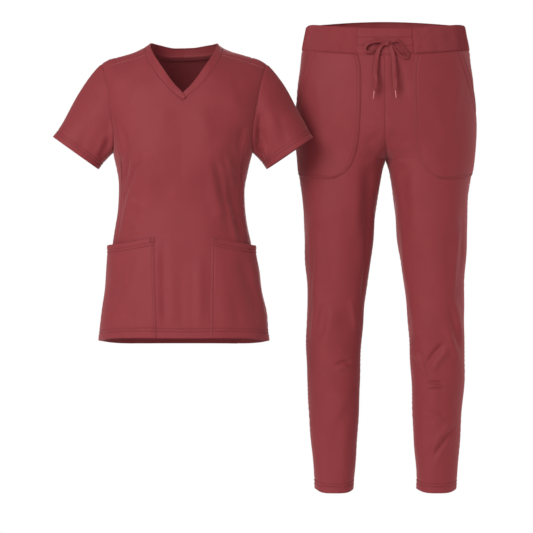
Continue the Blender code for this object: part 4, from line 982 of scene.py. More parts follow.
def pocket_relief(points):
    """The folds of the cloth under a pocket and the pocket's own."""
    return front_relief(points) + creases(points[..., 0], points[..., 2], TOP_POCKET_FOLDS)


def patch_edge(way, row):
    """A patch's sewn edge: it rolls in, a bell 1.4 mm wide, and has a groove under both rows."""
    return hem_form(way, row, 0.0002, PATCH_ROW_GAP) - 0.0017 * bell(way, 0.0014)


def caught_edge(way):
    """A patch's edge in the side seam: it sinks through its own layer, a bell 4 mm wide."""
    return -(LAYER + CLOTH_THICK + 0.0007) * bell(way, 0.004)


def lip(way):
    """The rounded edge of a mouth: it rolls in, a bell 1.1 mm wide."""
    return -0.0009 * bell(way, 0.0011)


def top_pocket_grid(low_inner, high_inner, columns, rows):
    """A pocket on the smooth body between its hem, its straight mouth, its inner edge and the
    side seam, as the blend of these four edges."""
    z = TOP_HEM_FRONT + TOP_POCKET_HEM
    z = z + (TOP_POCKET_TOP_INNER - z) * rows
    inner = top_place(low_inner + (high_inner - low_inner) * rows, z, 1)
    z = (TOP_HEM_FRONT + TOP_HEM_BACK) / 2 + TOP_POCKET_HEM
    z = z + (TOP_POCKET_TOP_OUTER - z) * rows
    outer = top_place(top_half_width(z), z, 1)
    outer[:, 0] = POCKET_SIDE_SHARE
    hem = hem_place(inner[0, 0] + (POCKET_SIDE_SHARE - inner[0, 0]) * columns, 1)
    hem[:, 1] -= TOP_POCKET_HEM
    inner[0], outer[0] = hem[0], hem[-1]
    across = np.sin((inner[-1, 0] + (1 - inner[-1, 0]) * columns) * math.pi / 2)
    share = (across - across[0]) / (1 - across[0])
    z = TOP_POCKET_TOP_INNER + (TOP_POCKET_TOP_OUTER - TOP_POCKET_TOP_INNER) * share
    mouth = top_place(top_half_width(z) * across, z, 1)
    mouth[:, 0] = inner[-1, 0] + (POCKET_SIDE_SHARE - inner[-1, 0]) * columns
    inner[-1], outer[-1] = mouth[0], mouth[-1]
    return body_grid(patch(columns, rows, hem, mouth, inner, outer))


def top_pocket_cloth(points, normal, gape, sewn, free):
    """The finished pocket and its outward normals: one layer above the body, gaping at the mouth,
    sunk into the side seam, rolled in at its sewn edge and turned under at its mouth and hem."""
    away = edge_distances(points)
    form = pocket_relief(points) + drift(points) + LAYER + CLOTH_THICK + gape
    form = form + seam_form(away, (free,), roll=0.0) + caught_edge(away[free])
    form = form + patch_edge(away[sewn], TOP_POCKET_ROW) + hem_form(away["low"], HEM_DEPTH)
    form = form + hem_form(away["high"], TOP_POCKET_MOUTH_HEM, 0.0007) + lip(away["high"])
    cloth = leaning(points + normal * form[..., None])
    return cloth, grid_normals(cloth, normal)


pocket_height = TOP_POCKET_TOP_INNER - TOP_HEM_FRONT
pocket_hem_rows = groove_stops(HEM_DEPTH, pocket_height)
mouth_rows = tuple(1 - np.array(groove_stops(TOP_POCKET_MOUTH_HEM, pocket_height)))
pocket_rows = crowded(56, ends=8, near=0.05, stops=pocket_hem_rows + mouth_rows)
pocket_columns = crowded(44, ends=9, near=0.09)
# The pocket gapes as a bag does: a sine that starts slowly at the inner edge and is pinched shut
# at the side seam, and grows with a power of the height.
bag = np.clip(pocket_columns / POCKET_BAG_WIDEST, 0, 2) ** POCKET_BAG_ROUNDING
bag = np.clip(np.sin(bag * math.pi / 2), 0, 1)
bag = bag * (1 - (1 - np.clip((1 - pocket_columns) / 0.085, 0, 1)) ** 3)
gape = TOP_POCKET_GAPE * bag[None, :] * pocket_rows[:, None] ** POCKET_BAG_OPENING
top_pockets = {}
for side, sewn, free in (("right", "left", "right"), ("left", "right", "left")):
    points, normal = top_pocket_grid(*TOP_POCKET_INNER[side], pocket_columns, pocket_rows)
    bulge = gape
    if side == "left":
        points, normal, bulge = mirrored(points), mirrored(normal), gape[:, ::-1]
    top_pockets[side] = top_pocket_cloth(points, normal, bulge, sewn, free)
    piece = cut_piece("patch_pocket_" + side, *top_pockets[side], scrub_cloth)
    sewn_sheet(piece, "top_pocket_" + side, top_pockets[side][0])

# ----------------------------------------------------------------------
# The top's stitching: polyester sewing thread of the cloth's own colour, a little darker, and
# darkened further by painted shade for the grooves' shadow, in two rows at the hems and the pockets
# and in one row round the neck, each stitch lying in its groove.
# ----------------------------------------------------------------------
STITCH_PITCH = 0.0031
STITCH_LENGTH = 0.0025
THREAD_RADIUS = 0.00028
# a stitch from end to end: the way along it as a share of half its length, and its thickness and
# its lift off the cloth as shares of the thread's radius
STITCH_WAY = np.array([-1.0, -0.62, 0.0, 0.62, 1.0])
STITCH_THICK = np.array([0.30, 0.88, 1.0, 0.88, 0.30])
STITCH_LIFT = np.array([-0.9, 0.5, 0.8, 0.5, -0.9])
# the bar tack at the inner end of a pocket's mouth: its distance from the sewn edge, where it
# starts and ends below the mouth, and the pitch, length and thread radius of its close stitches
TACK_IN = 0.0100
TACK_SPAN = (0.0085, 0.0005)
TACK_STITCHES = (0.0009, 0.0012, 0.0006)
# distance of the row on the body from the neckline, and of the row on the back band from its seam
NECK_ROW = 0.0052
BAND_ROW = 0.0030
# The thread's two tones are about half as bright as the cloth's. Part of that is the thread's own
# darker colour and part is painted shade, standing in for the shadow in the stitch grooves so that
# the rows read as dark lines.
THREAD_TONE_WITH_PAINTED_SHADE = (0.084, 0.0088, 0.0116, 1.0)
THREAD_DARK_TONE_WITH_PAINTED_SHADE = (0.064, 0.0064, 0.0086, 1.0)
thread_with_painted_shade = dyed_cloth("sewing thread", THREAD_TONE_WITH_PAINTED_SHADE, THREAD_DARK_TONE_WITH_PAINTED_SHADE, "DIAGONAL", 0.0005, 0.00005)


def stitch_row(panel, edge, depth, start=0.0, stop=1.0):
    """A line on a panel's cloth at the given distance from one of its edges, between two shares
    of that edge: on each row or column the place where the way in from the edge is the depth."""
    points, normals = panel
    away = edge_distances(points)[edge]
    if edge in ("left", "right"):
        points, normals, away = points.swapaxes(0, 1), normals.swapaxes(0, 1), away.T
    if edge in ("right", "high"):
        points, normals, away = points[::-1], normals[::-1], away[::-1]
    after = np.clip((away < depth).sum(axis=0), 1, len(away) - 1)[None]
    near = np.take_along_axis(away, after - 1, 0)
    far = np.take_along_axis(away, after, 0)
    part = ((depth - near) / (far - near)).T
    index = after[..., None]
    line, facing = (
        (1 - part) * np.take_along_axis(grid, index - 1, 0)[0]
        + part * np.take_along_axis(grid, index, 0)[0]
        for grid in (points, normals)
    )
    length = run_along(line)[-1]
    return line, unit(facing), (start * length, stop * length)


def stitch_rings(row, pitch, length, radius):
    """Five rings of five points round each stitch of a row. A stitch is a spindle: its radius is
    that of the thread in the middle and falls to its ends, which dip into the cloth."""
    line, facing, (start, stop) = row
    run = run_along(line)
    middles = np.arange(start + pitch / 2, stop - pitch / 2, pitch)
    spots = middles[:, None] + STITCH_WAY * length / 2
    place = np.stack([np.interp(spots, run, line[:, k]) for k in range(3)], -1)
    up = unit(np.stack([np.interp(spots, run, facing[:, k]) for k in range(3)], -1))
    side = unit(np.cross(unit(place[:, -1:] - place[:, :1]), up))
    turn = np.arange(5) * 2 * math.pi / 5
    ring = np.cos(turn)[:, None] * side[:, :, None] + np.sin(turn)[:, None] * up[:, :, None]
    centre = place + up * (radius * STITCH_LIFT)[:, None]
    return centre[:, :, None] + ring * (radius * STITCH_THICK)[:, None, None]


def stitched(name, rows, pitch=STITCH_PITCH, length=STITCH_LENGTH, radius=THREAD_RADIUS):
    """Rows of stitches as one piece. Faces with four corners join the rings of each stitch, and
    one with five closes each end."""
    points = np.concatenate([stitch_rings(row, pitch, length, radius) for row in rows])
    count = len(points)
    index = np.arange(count * 25).reshape(count, 5, 5)
    after = np.roll(index, -1, axis=2)
    cells = np.stack([index[:, :-1], index[:, 1:], after[:, 1:], after[:, :-1]], -1).reshape(-1, 4)
    ends = index[:, 0].tolist() + index[:, -1, ::-1].tolist()
    mesh = bpy.data.meshes.new(name)
    mesh.from_pydata(points.reshape(-1, 3).tolist(), [], cells.tolist() + ends)
    around = np.broadcast_to(np.arange(5) * radius, (count, 5, 5))
    forth = np.broadcast_to((STITCH_WAY * length / 2)[:, None], (count, 5, 5))
    cut = np.stack([around, forth + np.arange(count)[:, None, None] * pitch], -1).reshape(-1, 2)
    corners = np.zeros(len(mesh.loops), np.int32)
    mesh.loops.foreach_get("vertex_index", corners)
    mesh.uv_layers.new(name="cut").data.foreach_set("uv", cut[corners].astype(np.float32).ravel())
    mesh.polygons.foreach_set("use_smooth", np.ones(len(mesh.polygons), bool))
    # The thread's material, whose colour is darkened by painted shade for the stitch grooves.
    mesh.materials.append(thread_with_painted_shade)
    piece = bpy.data.objects.new(name, mesh)
    bpy.context.scene.collection.objects.link(piece)
    belongs(piece, "cloth")


def double_rows(panel, edge, depth, gap=ROW_GAP):
    """The two rows of a hem, at its depth and one gap nearer to the edge."""
    return [stitch_row(panel, edge, way) for way in (depth, depth - gap)]


hemmed = [centre_front, side_fronts["left"], side_fronts["right"]]
hemmed += [centre_back, side_backs["left"], side_backs["right"]]
rows = [row for panel in hemmed for row in double_rows(panel, "low", HEM_DEPTH)]
stitched("top_hem_stitches", rows)
for side, sewn in (("left", "right"), ("right", "left")):
    pocket = top_pockets[side]
    rows = double_rows(pocket, "low", HEM_DEPTH)
    rows += double_rows(pocket, "high", TOP_POCKET_MOUTH_HEM)
    rows += double_rows(pocket, sewn, TOP_POCKET_ROW, PATCH_ROW_GAP)
    stitched("top_pocket_stitches_" + side, rows)
    line, facing, (_, mouth) = stitch_row(pocket, sewn, TACK_IN)
    tack = line, facing, (mouth - TACK_SPAN[0], mouth - TACK_SPAN[1])
    stitched("top_pocket_tack_" + side, [tack], *TACK_STITCHES)
    stitched("sleeve_stitches_" + side, double_rows(sleeves[side], "low", SLEEVE_HEM_FOLD))

front_neck = tuple(grid[:, neck_span] for grid in centre_front)
back_neck = tuple(grid[:back_neck_rows, back_span] for grid in centre_back)
rows = [stitch_row(panel, "high", NECK_ROW) for panel in (front_neck, back_neck)]
stitched("neck_stitches", rows + [stitch_row(back_band, "left", BAND_ROW)])

# ----------------------------------------------------------------------
# The legs of the trousers: a front and a back each side, tapered to a narrow hem. They meet at
# the centre seams, the crotch, the inseams and the side seams.
# ----------------------------------------------------------------------
TROUSERS_PLACE = np.array([0.4366, 0.105, 0.0])
CROTCH = -0.240
FRONT_RISE = 0.075
BACK_RISE = 0.125
LEG_BLEND = 0.140
LEG_BLEND_SHARE = 0.45
LEG_SQUARENESS = 2.25
HIP_SQUARENESS = 2.35
BAND_HEIGHT = 0.0570
WAIST_FRONT = -0.0180
WAIST_SIDE = -0.0050
WAIST_BACK = 0.0080
LEG_HEM = -0.9570
LEG_HEM_DIP = 0.0090
LEG_HEM_FOLD = 0.0205
SEAM_SHIFT = 0.0037
# height, outer side, inner side, depth of the front, depth of the back, middle of the depth
TROUSER_SECTIONS = (
    (-0.985, 0.1530, 0.0705, 0.046, 0.049, 0.006),
    (-0.914, 0.1560, 0.0665, 0.046, 0.052, 0.006),
    (-0.861, 0.1615, 0.0620, 0.047, 0.057, 0.005),
    (-0.809, 0.1658, 0.0590, 0.049, 0.062, 0.003),
    (-0.757, 0.1690, 0.0567, 0.052, 0.066, 0.001),
    (-0.704, 0.1724, 0.0556, 0.055, 0.067, -0.002),
    (-0.652, 0.1724, 0.0535, 0.059, 0.064, -0.004),
    (-0.600, 0.1713, 0.0490, 0.064, 0.063, -0.004),
    (-0.547, 0.1702, 0.0436, 0.068, 0.068, -0.002),
    (-0.442, 0.1757, 0.0295, 0.078, 0.082, 0.000),
    (-0.338, 0.1800, 0.0185, 0.091, 0.097, 0.002),
    (-0.285, 0.1860, 0.0110, 0.098, 0.105, 0.004),
    (-0.262, 0.1888, 0.0064, 0.1005, 0.1085, 0.0045),
    (-0.240, 0.1915, 0.0000, 0.103, 0.112, 0.005),
    (-0.207, 0.1955, 0.0000, 0.107, 0.122, 0.005),
    (-0.154, 0.1973, 0.0000, 0.110, 0.130, 0.004),
    (-0.102, 0.1930, 0.0000, 0.110, 0.130, 0.003),
    (-0.050, 0.1872, 0.0000, 0.107, 0.120, 0.002),
    (0.003, 0.1815, 0.0000, 0.103, 0.108, 0.001),
    (0.029, 0.1765, 0.0000, 0.100, 0.103, 0.000),
    (0.080, 0.1670, 0.0000, 0.097, 0.098, 0.000),
)
# Folds of the trousers from their own centre, in millimetres, in the columns of the top's tables
TROUSER_FRONT_FOLDS = (
    (-34, -236, -37, -424, -2, 20, 9, -6.4),
    (32, -236, 40, -392, 2, 9, 16, -4.2),
    (-52, -262, -62, -430, -3, 14, 14, 2.6),
    (50, -256, 64, -430, 3, 14, 12, 2.8),
    (-12, -22, -10, -120, 0, 10, 8, -2.6),
    (20, -26, 38, -118, 2, 8, 10, -2.6),
    (-6, -206, -44, -262, 3, 7, 9, 3.0),
    (6, -206, 44, -262, -3, 9, 7, 3.0),
    (-10, -180, -52, -216, 3, 8, 9, -2.4),
    (10, -180, 50, -214, -3, 9, 8, -2.4),
    (-154, -385, -160, -580, 6, 6, 10, 4.6),
    (-166, -370, -164, -520, 0, 4, 5, 2.0),
    (-34, -330, -52, -580, -2, 4, 5, -3.2),
    (-76, -540, -60, -624, 0, 5, 4, 2.8),
    (32, -360, 44, -545, -1, 6, 9, 3.0),
    (52, -540, 66, -640, 0, 6, 6, 2.0),
    (-114, -556, -146, -664, 2, 6, 22, 7.0),
    (-142, -528, -163, -648, 0, 7, 7, 5.2),
    (-131, -545, -153, -642, 0, 5, 5, -2.4),
    (-84, -500, -78, -700, 3, 24, 20, -5.0),
    (-112, -692, -72, -684, 6, 4, 5, -4.2),
    (-112, -702, -74, -694, 6, 5, 5, 3.2),
    (143, -532, 165, -652, 2, 7, 8, 3.9),
    (124, -588, 157, -688, 2, 8, 7, 3.6),
    (133, -552, 160, -664, 2, 6, 6, -3.4),
    (130, -636, 82, -697, -4, 6, 5, -5.8),
    (141, -646, 95, -708, -4, 8, 7, 6.1),
    (58, -652, 94, -722, 1, 5, 4, 3.8),
    (64, -650, 99, -716, 1, 4, 4, -2.6),
    (86, -729, 126, -729, 4, 3, 4, -3.6),
    (86, -736, 126, -736, 4, 3, 3, 3.0),
    (88, -744, 128, -740, 4, 3, 4, -3.4),
    (82, -788, 132, -799, 2, 3, 5, -2.8),
    (84, -796, 134, -806, 2, 4, 4, 2.4),
    (150, -806, 92, -886, -4, 7, 6, 4.4),
    (152, -820, 98, -896, -4, 4, 4, -3.0),
    (150, -838, 100, -912, -3, 5, 6, 2.8),
    (-70, -740, -116, -812, -4, 14, 11, 3.5),
    (-142, -700, -96, -780, 4, 13, 12, 2.9),
    (-108, -300, -104, -560, 4, 24, 20, 2.0),
    (106, -300, 112, -560, -4, 20, 24, 2.0),
    (158, -380, 144, -550, -2, 7, 5, 4.0),
    (165, -330, 163, -520, 0, 4, 4, -2.0),
    (-84, -800, -92, -934, -4, 14, 12, 2.8),
    (100, -690, 104, -930, 4, 12, 14, 2.5),
)
TROUSER_BACK_FOLDS = (
    (-16, -150, -74, -262, 6, 11, 14, 3.3),
    (18, -150, 78, -258, -6, 14, 11, 3.1),
    (-10, -214, -58, -322, 4, 9, 11, -3.5),
    (12, -216, 60, -318, -4, 11, 9, -3.3),
    (-40, -262, -96, -380, 4, 14, 16, 3.1),
    (42, -258, 98, -384, -4, 16, 14, 3.1),
    (-150, -170, -120, -300, -4, 12, 15, 2.4),
    (152, -176, 122, -306, 4, 15, 12, 2.4),
    (-56, -590, -140, -622, 4, 9, 12, 3.7),
    (-60, -622, -138, -666, 4, 8, 10, -3.1),
    (-58, -672, -130, -700, 3, 8, 11, 2.9),
    (62, -584, 146, -628, -4, 9, 12, 3.5),
    (60, -626, 144, -664, -4, 9, 9, -3.1),
    (64, -668, 134, -706, -3, 8, 10, 3.1),
    (-72, -730, -116, -838, 4, 15, 12, 2.2),
    (76, -736, 122, -842, -4, 12, 15, 2.2),
    (-100, -330, -96, -560, 5, 24, 20, 2.0),
    (98, -334, 104, -560, -5, 20, 24, 2.0),
)


def leg_shape(height, front):
    """How far a section has turned from half of a hip (0) into a leg (1): a quarter circle at the
    centre, and a smooth step over a longer height from the middle of the side outwards."""
    rise = FRONT_RISE if front else BACK_RISE
    sharp = 1 - np.sqrt(1 - np.clip((CROTCH + rise - height) / rise, 0, 1) ** 2)
    slow = np.clip((CROTCH + rise - height) / (rise + LEG_BLEND), 0, 1)
    return sharp, eased(slow)


def trouser_surface(share, height, front):
    """The right half of the trousers. share is 0 at the centre or the inside leg and 1 at the
    outer side. A hip is half of a rounded rectangle and a leg is a whole one."""
    outer = section(TROUSER_SECTIONS, 1, height)
    inner = np.maximum(section(TROUSER_SECTIONS, 2, height), 0)
    depth = section(TROUSER_SECTIONS, 3 if front else 4, height)
    middle = section(TROUSER_SECTIONS, 5, height)
    sharp, slow = leg_shape(height, front)
    leg = sharp + (slow - sharp) * eased(np.clip(share / LEG_BLEND_SHARE, 0, 1))
    turn = np.sin(share * math.pi / 2)
    hip_y = np.maximum(1 - turn**HIP_SQUARENESS, 0) ** (1 / HIP_SQUARENESS)
    swing = np.cos(share * math.pi)
    leg_x = (outer + inner) / 2 - (outer - inner) / 2 * swing
    leg_y = np.maximum(1 - np.abs(swing) ** LEG_SQUARENESS, 0) ** (1 / LEG_SQUARENESS)
    x = (1 - leg) * outer * turn + leg * leg_x
    y = depth * ((1 - leg) * hip_y + leg * leg_y)
    return np.stack([x, middle + (-y if front else y), height + 0 * x], -1)


def waist_height(share, front):
    """Height of the waist's seam: that of the side, and nearer to that of the middle by the square
    of the cosine of the way round."""
    middle = WAIST_FRONT if front else WAIST_BACK
    return WAIST_SIDE + (middle - WAIST_SIDE) * np.cos(share * math.pi / 2) ** 2


def trouser_drift(points):
    """The slight drift of the trousers' cloth: the top's, elsewhere and a little longer."""
    return drift(points * np.array([1.0, 1.0, 0.8]) + 0.4, 0.0009)


def trouser_relief(points, front):
    """The folds of the trousers. They fade where the section turns to the side seams and, on a
    leg, to the inseam."""
    x, z = points[..., 0], points[..., 2]
    outer, inner = section(TROUSER_SECTIONS, 1, z), section(TROUSER_SECTIONS, 2, z)
    across = np.clip((outer - np.abs(x)) / 0.016, 0, 1)
    above = np.clip((z - CROTCH) / 0.02, 0, 1)
    within = np.maximum(np.clip((np.abs(x) - inner) / 0.009, 0, 1), above)
    free = eased(across) * eased(within)
    folds = TROUSER_FRONT_FOLDS if front else TROUSER_BACK_FOLDS
    return creases(x, z, folds) * free


def half_grid(shares, heights, front):
    """A grid of the right half and its outward normals, which are crossed from the differences
    round and up. At the centre the hip's cloth faces straight forwards or backwards, and at the
    inseam and the side seam the cloth faces straight sideways."""
    share = np.broadcast_to(shares[None, :], heights.shape)
    points = trouser_surface(share, heights, front)
    around = trouser_surface(np.clip(share + 0.003, 0, 1), heights, front)
    around = around - trouser_surface(np.clip(share - 0.003, 0, 1), heights, front)
    up = np.gradient(points, axis=0)
    normal = np.cross(around, up) * (1.0 if front else -1.0)
    edge = (share == 0) & (heights >= CROTCH)
    normal = np.where(edge[..., None], normal * np.array([0.0, 1.0, 1.0]), normal)
    seam = (share == 0) & (heights < CROTCH) | (share == 1)
    flat = np.stack([up[..., 2], 0 * share, -up[..., 0]], -1)
    flat = flat * np.where(share == 0, -1.0, 1.0)[..., None]
    return points, unit(np.where(seam[..., None], flat, normal))


def seam_shift(points):
    """How far the front's centre seam sits off the centre: a bell across, nothing at the crotch."""
    high = np.clip((points[..., 2] - CROTCH) / 0.05, 0, 1)
    return SEAM_SHIFT * bell(points[..., 0], 0.032) * eased(high)


def panel_heights(shares, front, leg_rows, hip_rows):
    """Each column's heights: up the leg to the crotch, closer together just above it, and up the
    hip to the waistband."""
    hem = LEG_HEM - LEG_HEM_DIP * (1 - np.cos(shares * math.pi)[None, :] ** 4)
    leg = hem + leg_rows[:, None] * (CROTCH - hem)
    rise = CROTCH + BACK_RISE * (1 - np.cos(np.linspace(0, 1, 46)[:-1] * math.pi / 2))[:, None]
    last = CROTCH + BACK_RISE
    hip = last + hip_rows[:, None] * (waist_height(shares, front) - last)
    return np.vstack([leg, rise + 0 * hem, hip])


def trouser_cloth(points, normal, front, side):
    """A finished panel in its place and its outward normals: the smooth one, moved out by the
    folds, the drift, its seams and its hem. The front's centre seam is then moved sideways."""
    away = edge_distances(points)
    form = trouser_relief(points, front) + trouser_drift(points)
    form = form + seam_form(away, ("left", "right", "high"), phase=1.7)
    form = form + hem_form(away["low"], LEG_HEM_FOLD, 0.0006)
    cloth = points + normal * form[..., None]
    across = np.abs(cloth[..., 0]) * (1 if side == "right" else -1)
    across = across - seam_shift(points) * (1.0 if front else 0.0)
    return np.concatenate([across[..., None], cloth[..., 1:]], -1) + TROUSERS_PLACE, normal


leg_hem_rows = groove_stops(LEG_HEM_FOLD, CROTCH - LEG_HEM)
knee_rows = tuple(np.linspace(0.20, 0.46, 88))
leg_rows = crowded(126, ends=8, near=0.012, stops=knee_rows + leg_hem_rows)[:-1]
hip_rows = crowded(36, ends=7, near=0.09)
leg_columns = crowded(46, ends=7, near=0.05)
trouser_panels = {}
for part, front in (("front", True), ("back", False)):
    grid = half_grid(leg_columns, panel_heights(leg_columns, front, leg_rows, hip_rows), front)
    for side in ("right", "left"):
        points, normal = grid if side == "right" else tuple(map(mirrored, grid))
        trouser_panels[part, side] = trouser_cloth(points, normal, front, side)
        piece = cut_piece(f"leg_{part}_{side}", *trouser_panels[part, side], scrub_cloth)
        sewn_sheet(piece, f"trousers_{part}_{side}", trouser_panels[part, side][0])

# ----------------------------------------------------------------------
# The waistband: a soft rib-knit band all round, except at the front, where a plain insert of the
# scrub cloth has a stitched channel for the cord.
# ----------------------------------------------------------------------
INSERT_HALF = 0.0610
CHANNEL = (0.0190, 0.0372)
BAND_SINK = 0.0048
INSERT_SHIFT = 0.0043
RIB_PITCH = 0.0024
RIB_HEIGHT = 0.00045
RIB_THICK = 0.0018
# Small loose folds of the insert in millimetres, in the columns of the top's tables
INSERT_FOLDS = (
    (-30, 30, -24, -12, 2, 7, 9, 0.9),
    (34, 32, 28, -10, -2, 9, 7, 0.8),
    (-8, 38, -12, -14, 2, 8, 8, -0.7),
    (12, 38, 16, -14, -2, 8, 8, -0.6),
)
RIB_DYE = (0.188, 0.0205, 0.0260, 1.0)
RIB_SHADE = (0.150, 0.0154, 0.0198, 1.0)
rib_knit = dyed_cloth("rib knit", RIB_DYE, RIB_SHADE, "Y", 0.0011, 0.00015)


def band_heights(shares, front, rows):
    """The band's heights above its seam. Its top edge sinks a little at the side seams."""
    sunk = BAND_SINK * bell(1 - shares, 0.190)[None, :] * rows[:, None] ** 3
    return waist_height(shares, front)[None, :] + BAND_HEIGHT * rows[:, None] - sunk


def waist_place(points):
    """The band in its place. Its front sits off centre by a share that falls to the sides."""
    front = np.clip(1 - (points[..., 0] / 0.17) ** 2, 0, 1) * (points[..., 1] < 0)
    return points + TROUSERS_PLACE - INSERT_SHIFT * front[..., None] * np.array([1.0, 0.0, 0.0])


def waist_edges(away, top_roll=0.0013):
    """The band rolls in at its lower seam and over at its folded top edge."""
    form = -0.0012 * bell(away["low"], 0.0022)
    return form - top_roll * bell(away["high"], 0.0016)


def insert_cloth(points, normal):
    """The insert in its place and its outward normals: small folds, the drift, its four edges and
    a groove under each row of the channel's stitches."""
    away = edge_distances(points)
    form = creases(points[..., 0], points[..., 2], INSERT_FOLDS)
    form = form + trouser_drift(points) + waist_edges(away)
    form = form + seam_form(away, ("left", "right"), roll=0.0008)
    form = form - 0.0010 * sum(bell(away["low"] - row, 0.0013) for row in CHANNEL)
    return waist_place(points + normal * form[..., None]), normal


def ribbed(points, normal):
    """The two faces of the knit band, in their place. The outer one has the ribs, a cosine of the
    way round at the middle of the band, and both have a slow uneven wave."""
    away = edge_distances(points)
    way = away["left"][8:9]
    wave = 0.0004 * np.sin(way * 190 + 2 * np.sin(way * 23))
    form = wave + trouser_drift(points) + waist_edges(away)
    ribs = RIB_HEIGHT * np.cos(way * 2 * math.pi / RIB_PITCH)
    lifts = form + ribs, form - RIB_THICK
    return tuple(waist_place(points + normal * lift[..., None]) for lift in lifts)


def folded_band(outside, inside):
    """The band as a closed tube along its length: over the outer face, through the middle of the
    fold and down the inner face. Both ends are pinched shut in the middle of its thickness."""
    middle = (outside + inside) / 2
    fold = np.concatenate([outside, middle[-1:], inside[::-1], middle[:1]]).transpose(1, 0, 2)
    shut = np.concatenate([middle, middle[-1:], middle[::-1], middle[:1]]).transpose(1, 0, 2)
    return np.vstack([shut[:1], fold, shut[-1:]])


front_width = float(section(TROUSER_SECTIONS, 1, np.array(0.0)))
insert_share = math.asin(INSERT_HALF / front_width) * 2 / math.pi
insert_columns = insert_share * crowded(26, near=0.10)
insert_heights = band_heights(insert_columns, True, crowded(58, near=0.06))
right_half = half_grid(insert_columns, insert_heights, True)
insert = insert_cloth(*map(both_halves, right_half))
piece = cut_piece("waist_insert", *insert, scrub_cloth, thick=RIB_THICK)
sewn_sheet(piece, "trousers_insert", insert[0])

rib_rows = crowded(8, ends=4, near=0.10)
fore = insert_share + (1 - insert_share) * np.linspace(0, 1, 420)
aft = np.linspace(1, 0, 700)
front_part = half_grid(fore, band_heights(fore, True, rib_rows), True)
back_part = half_grid(aft, band_heights(aft, False, rib_rows), False)
right_half = [np.hstack([one[:, :-1], other]) for one, other in zip(front_part, back_part)]
outside, inside = ribbed(*(np.hstack([grid, mirrored(grid)[:, 1:]]) for grid in right_half))
fold = folded_band(outside, inside)
facing = fold - fold.mean(axis=1, keepdims=True)
piece = cut_piece("waistband", fold, facing, rib_knit, thick=0, closed=True)
sewn_sheet(piece, "trousers_waistband", outside, slot="rib_knit")

# ----------------------------------------------------------------------
# The two front pockets of the trousers: rounded patches that hang from the waistband, sewn on
# round the inner edge and the bottom. The slanting mouth is open at the side of the hip.
# ----------------------------------------------------------------------
TROUSER_POCKET_MOUTH_X = (0.1640, 0.1948)
TROUSER_POCKET_MOUTH_END = -0.137
TROUSER_POCKET_SIDE_END = -0.275
TROUSER_POCKET_GAPE = 0.006
# distances of the mouth's two rows of stitches from it, and of the outer row from the sewn edge
MOUTH_STITCHES = (0.0040, 0.0165)
TROUSER_POCKET_ROW = 0.0072
SEAM_GAP = 0.0004
# distance from the centre, height of the trouser pocket's inner edge and lower corner
TROUSER_POCKET_INNER = (
    (0.0620, -0.0185), (0.0565, -0.0515), (0.0563, -0.1160), (0.0587, -0.1700), (0.0613, -0.2030),
    (0.0668, -0.2280), (0.0752, -0.2515), (0.0900, -0.2715), (0.1140, -0.2850),
)
TROUSER_POCKET_FOLDS = (
    (-112, -44, -104, -200, 4, 16, 20, 1.5),
    (-84, -120, -128, -262, 4, 13, 15, -1.4),
    (108, -40, 112, -210, -4, 18, 16, 1.5),
    (88, -130, 140, -264, -4, 14, 14, -1.5),
    (-150, -60, -136, -180, -3, 8, 10, 1.4),
    (154, -60, 140, -184, 3, 10, 8, 1.4),
)


def share_at(x, height):
    """The share of the way round the front at which the surface is a distance from the centre."""
    shares = np.linspace(0, 1, 301)
    line = trouser_surface(shares, np.full(301, height), True)
    return float(np.interp(x, line[:, 0], shares))


def mouth_form(way):
    """The mouth's wide facing, a little proud, with a groove under each row of its stitches and a
    rounded edge."""
    band = 0.5 - 0.5 * np.tanh((way - MOUTH_STITCHES[1]) / 0.0015)
    grooves = sum(bell(way - row, 0.0012) for row in MOUTH_STITCHES)
    return 0.0005 * band - 0.0009 * grooves + lip(way)


def mouth_places(rows):
    """The pocket's outer edge as (share of the way round, height): up along the side seam, which
    it is caught in, then up the slanting mouth to the waistband. A smooth step joins the two."""
    top = share_at(TROUSER_POCKET_MOUTH_X[0], WAIST_SIDE)
    below, above = np.clip(2 * rows, 0, 1), np.clip(2 * rows - 1, 0, 1)
    height = TROUSER_POCKET_SIDE_END + below * (TROUSER_POCKET_MOUTH_END - TROUSER_POCKET_SIDE_END)
    height = height + above * (waist_height(top, True) - SEAM_GAP - TROUSER_POCKET_MOUTH_END)
    near, far = TROUSER_POCKET_MOUTH_X
    share = np.array([share_at(*place) for place in zip(far + above * (near - far), height)])
    share = share + eased(np.clip((0.50 - rows) / 0.07, 0, 1)) * (POCKET_SIDE_SHARE - share)
    share[-1] = top
    return np.stack([share, height], 1)


def trouser_pocket_grid(columns, rows):
    """A pocket on the smooth front and its outward normals, as the blend of its rounded inner
    edge, its outer edge, a slightly sagging bottom and the waistband's seam."""
    inner = np.array([(share_at(x, z), z) for x, z in along(TROUSER_POCKET_INNER, 1 - rows)])
    inner[-1, 1] = waist_height(inner[-1, 0], True) - SEAM_GAP
    outer = mouth_places(rows)
    bottom = inner[0] + columns[:, None] * (outer[0] - inner[0])
    bottom[:, 1] -= 0.0035 * np.sin(columns * math.pi)
    across = inner[-1, 0] + columns * (outer[-1, 0] - inner[-1, 0])
    upper = np.stack([across, waist_height(across, True) - SEAM_GAP], 1)
    places = patch(columns, rows, bottom, upper, inner, outer)
    points = trouser_surface(places[..., 0], places[..., 1], True)
    return points, grid_normals(points, points * np.array([1.0, 1.0, 0.0]))


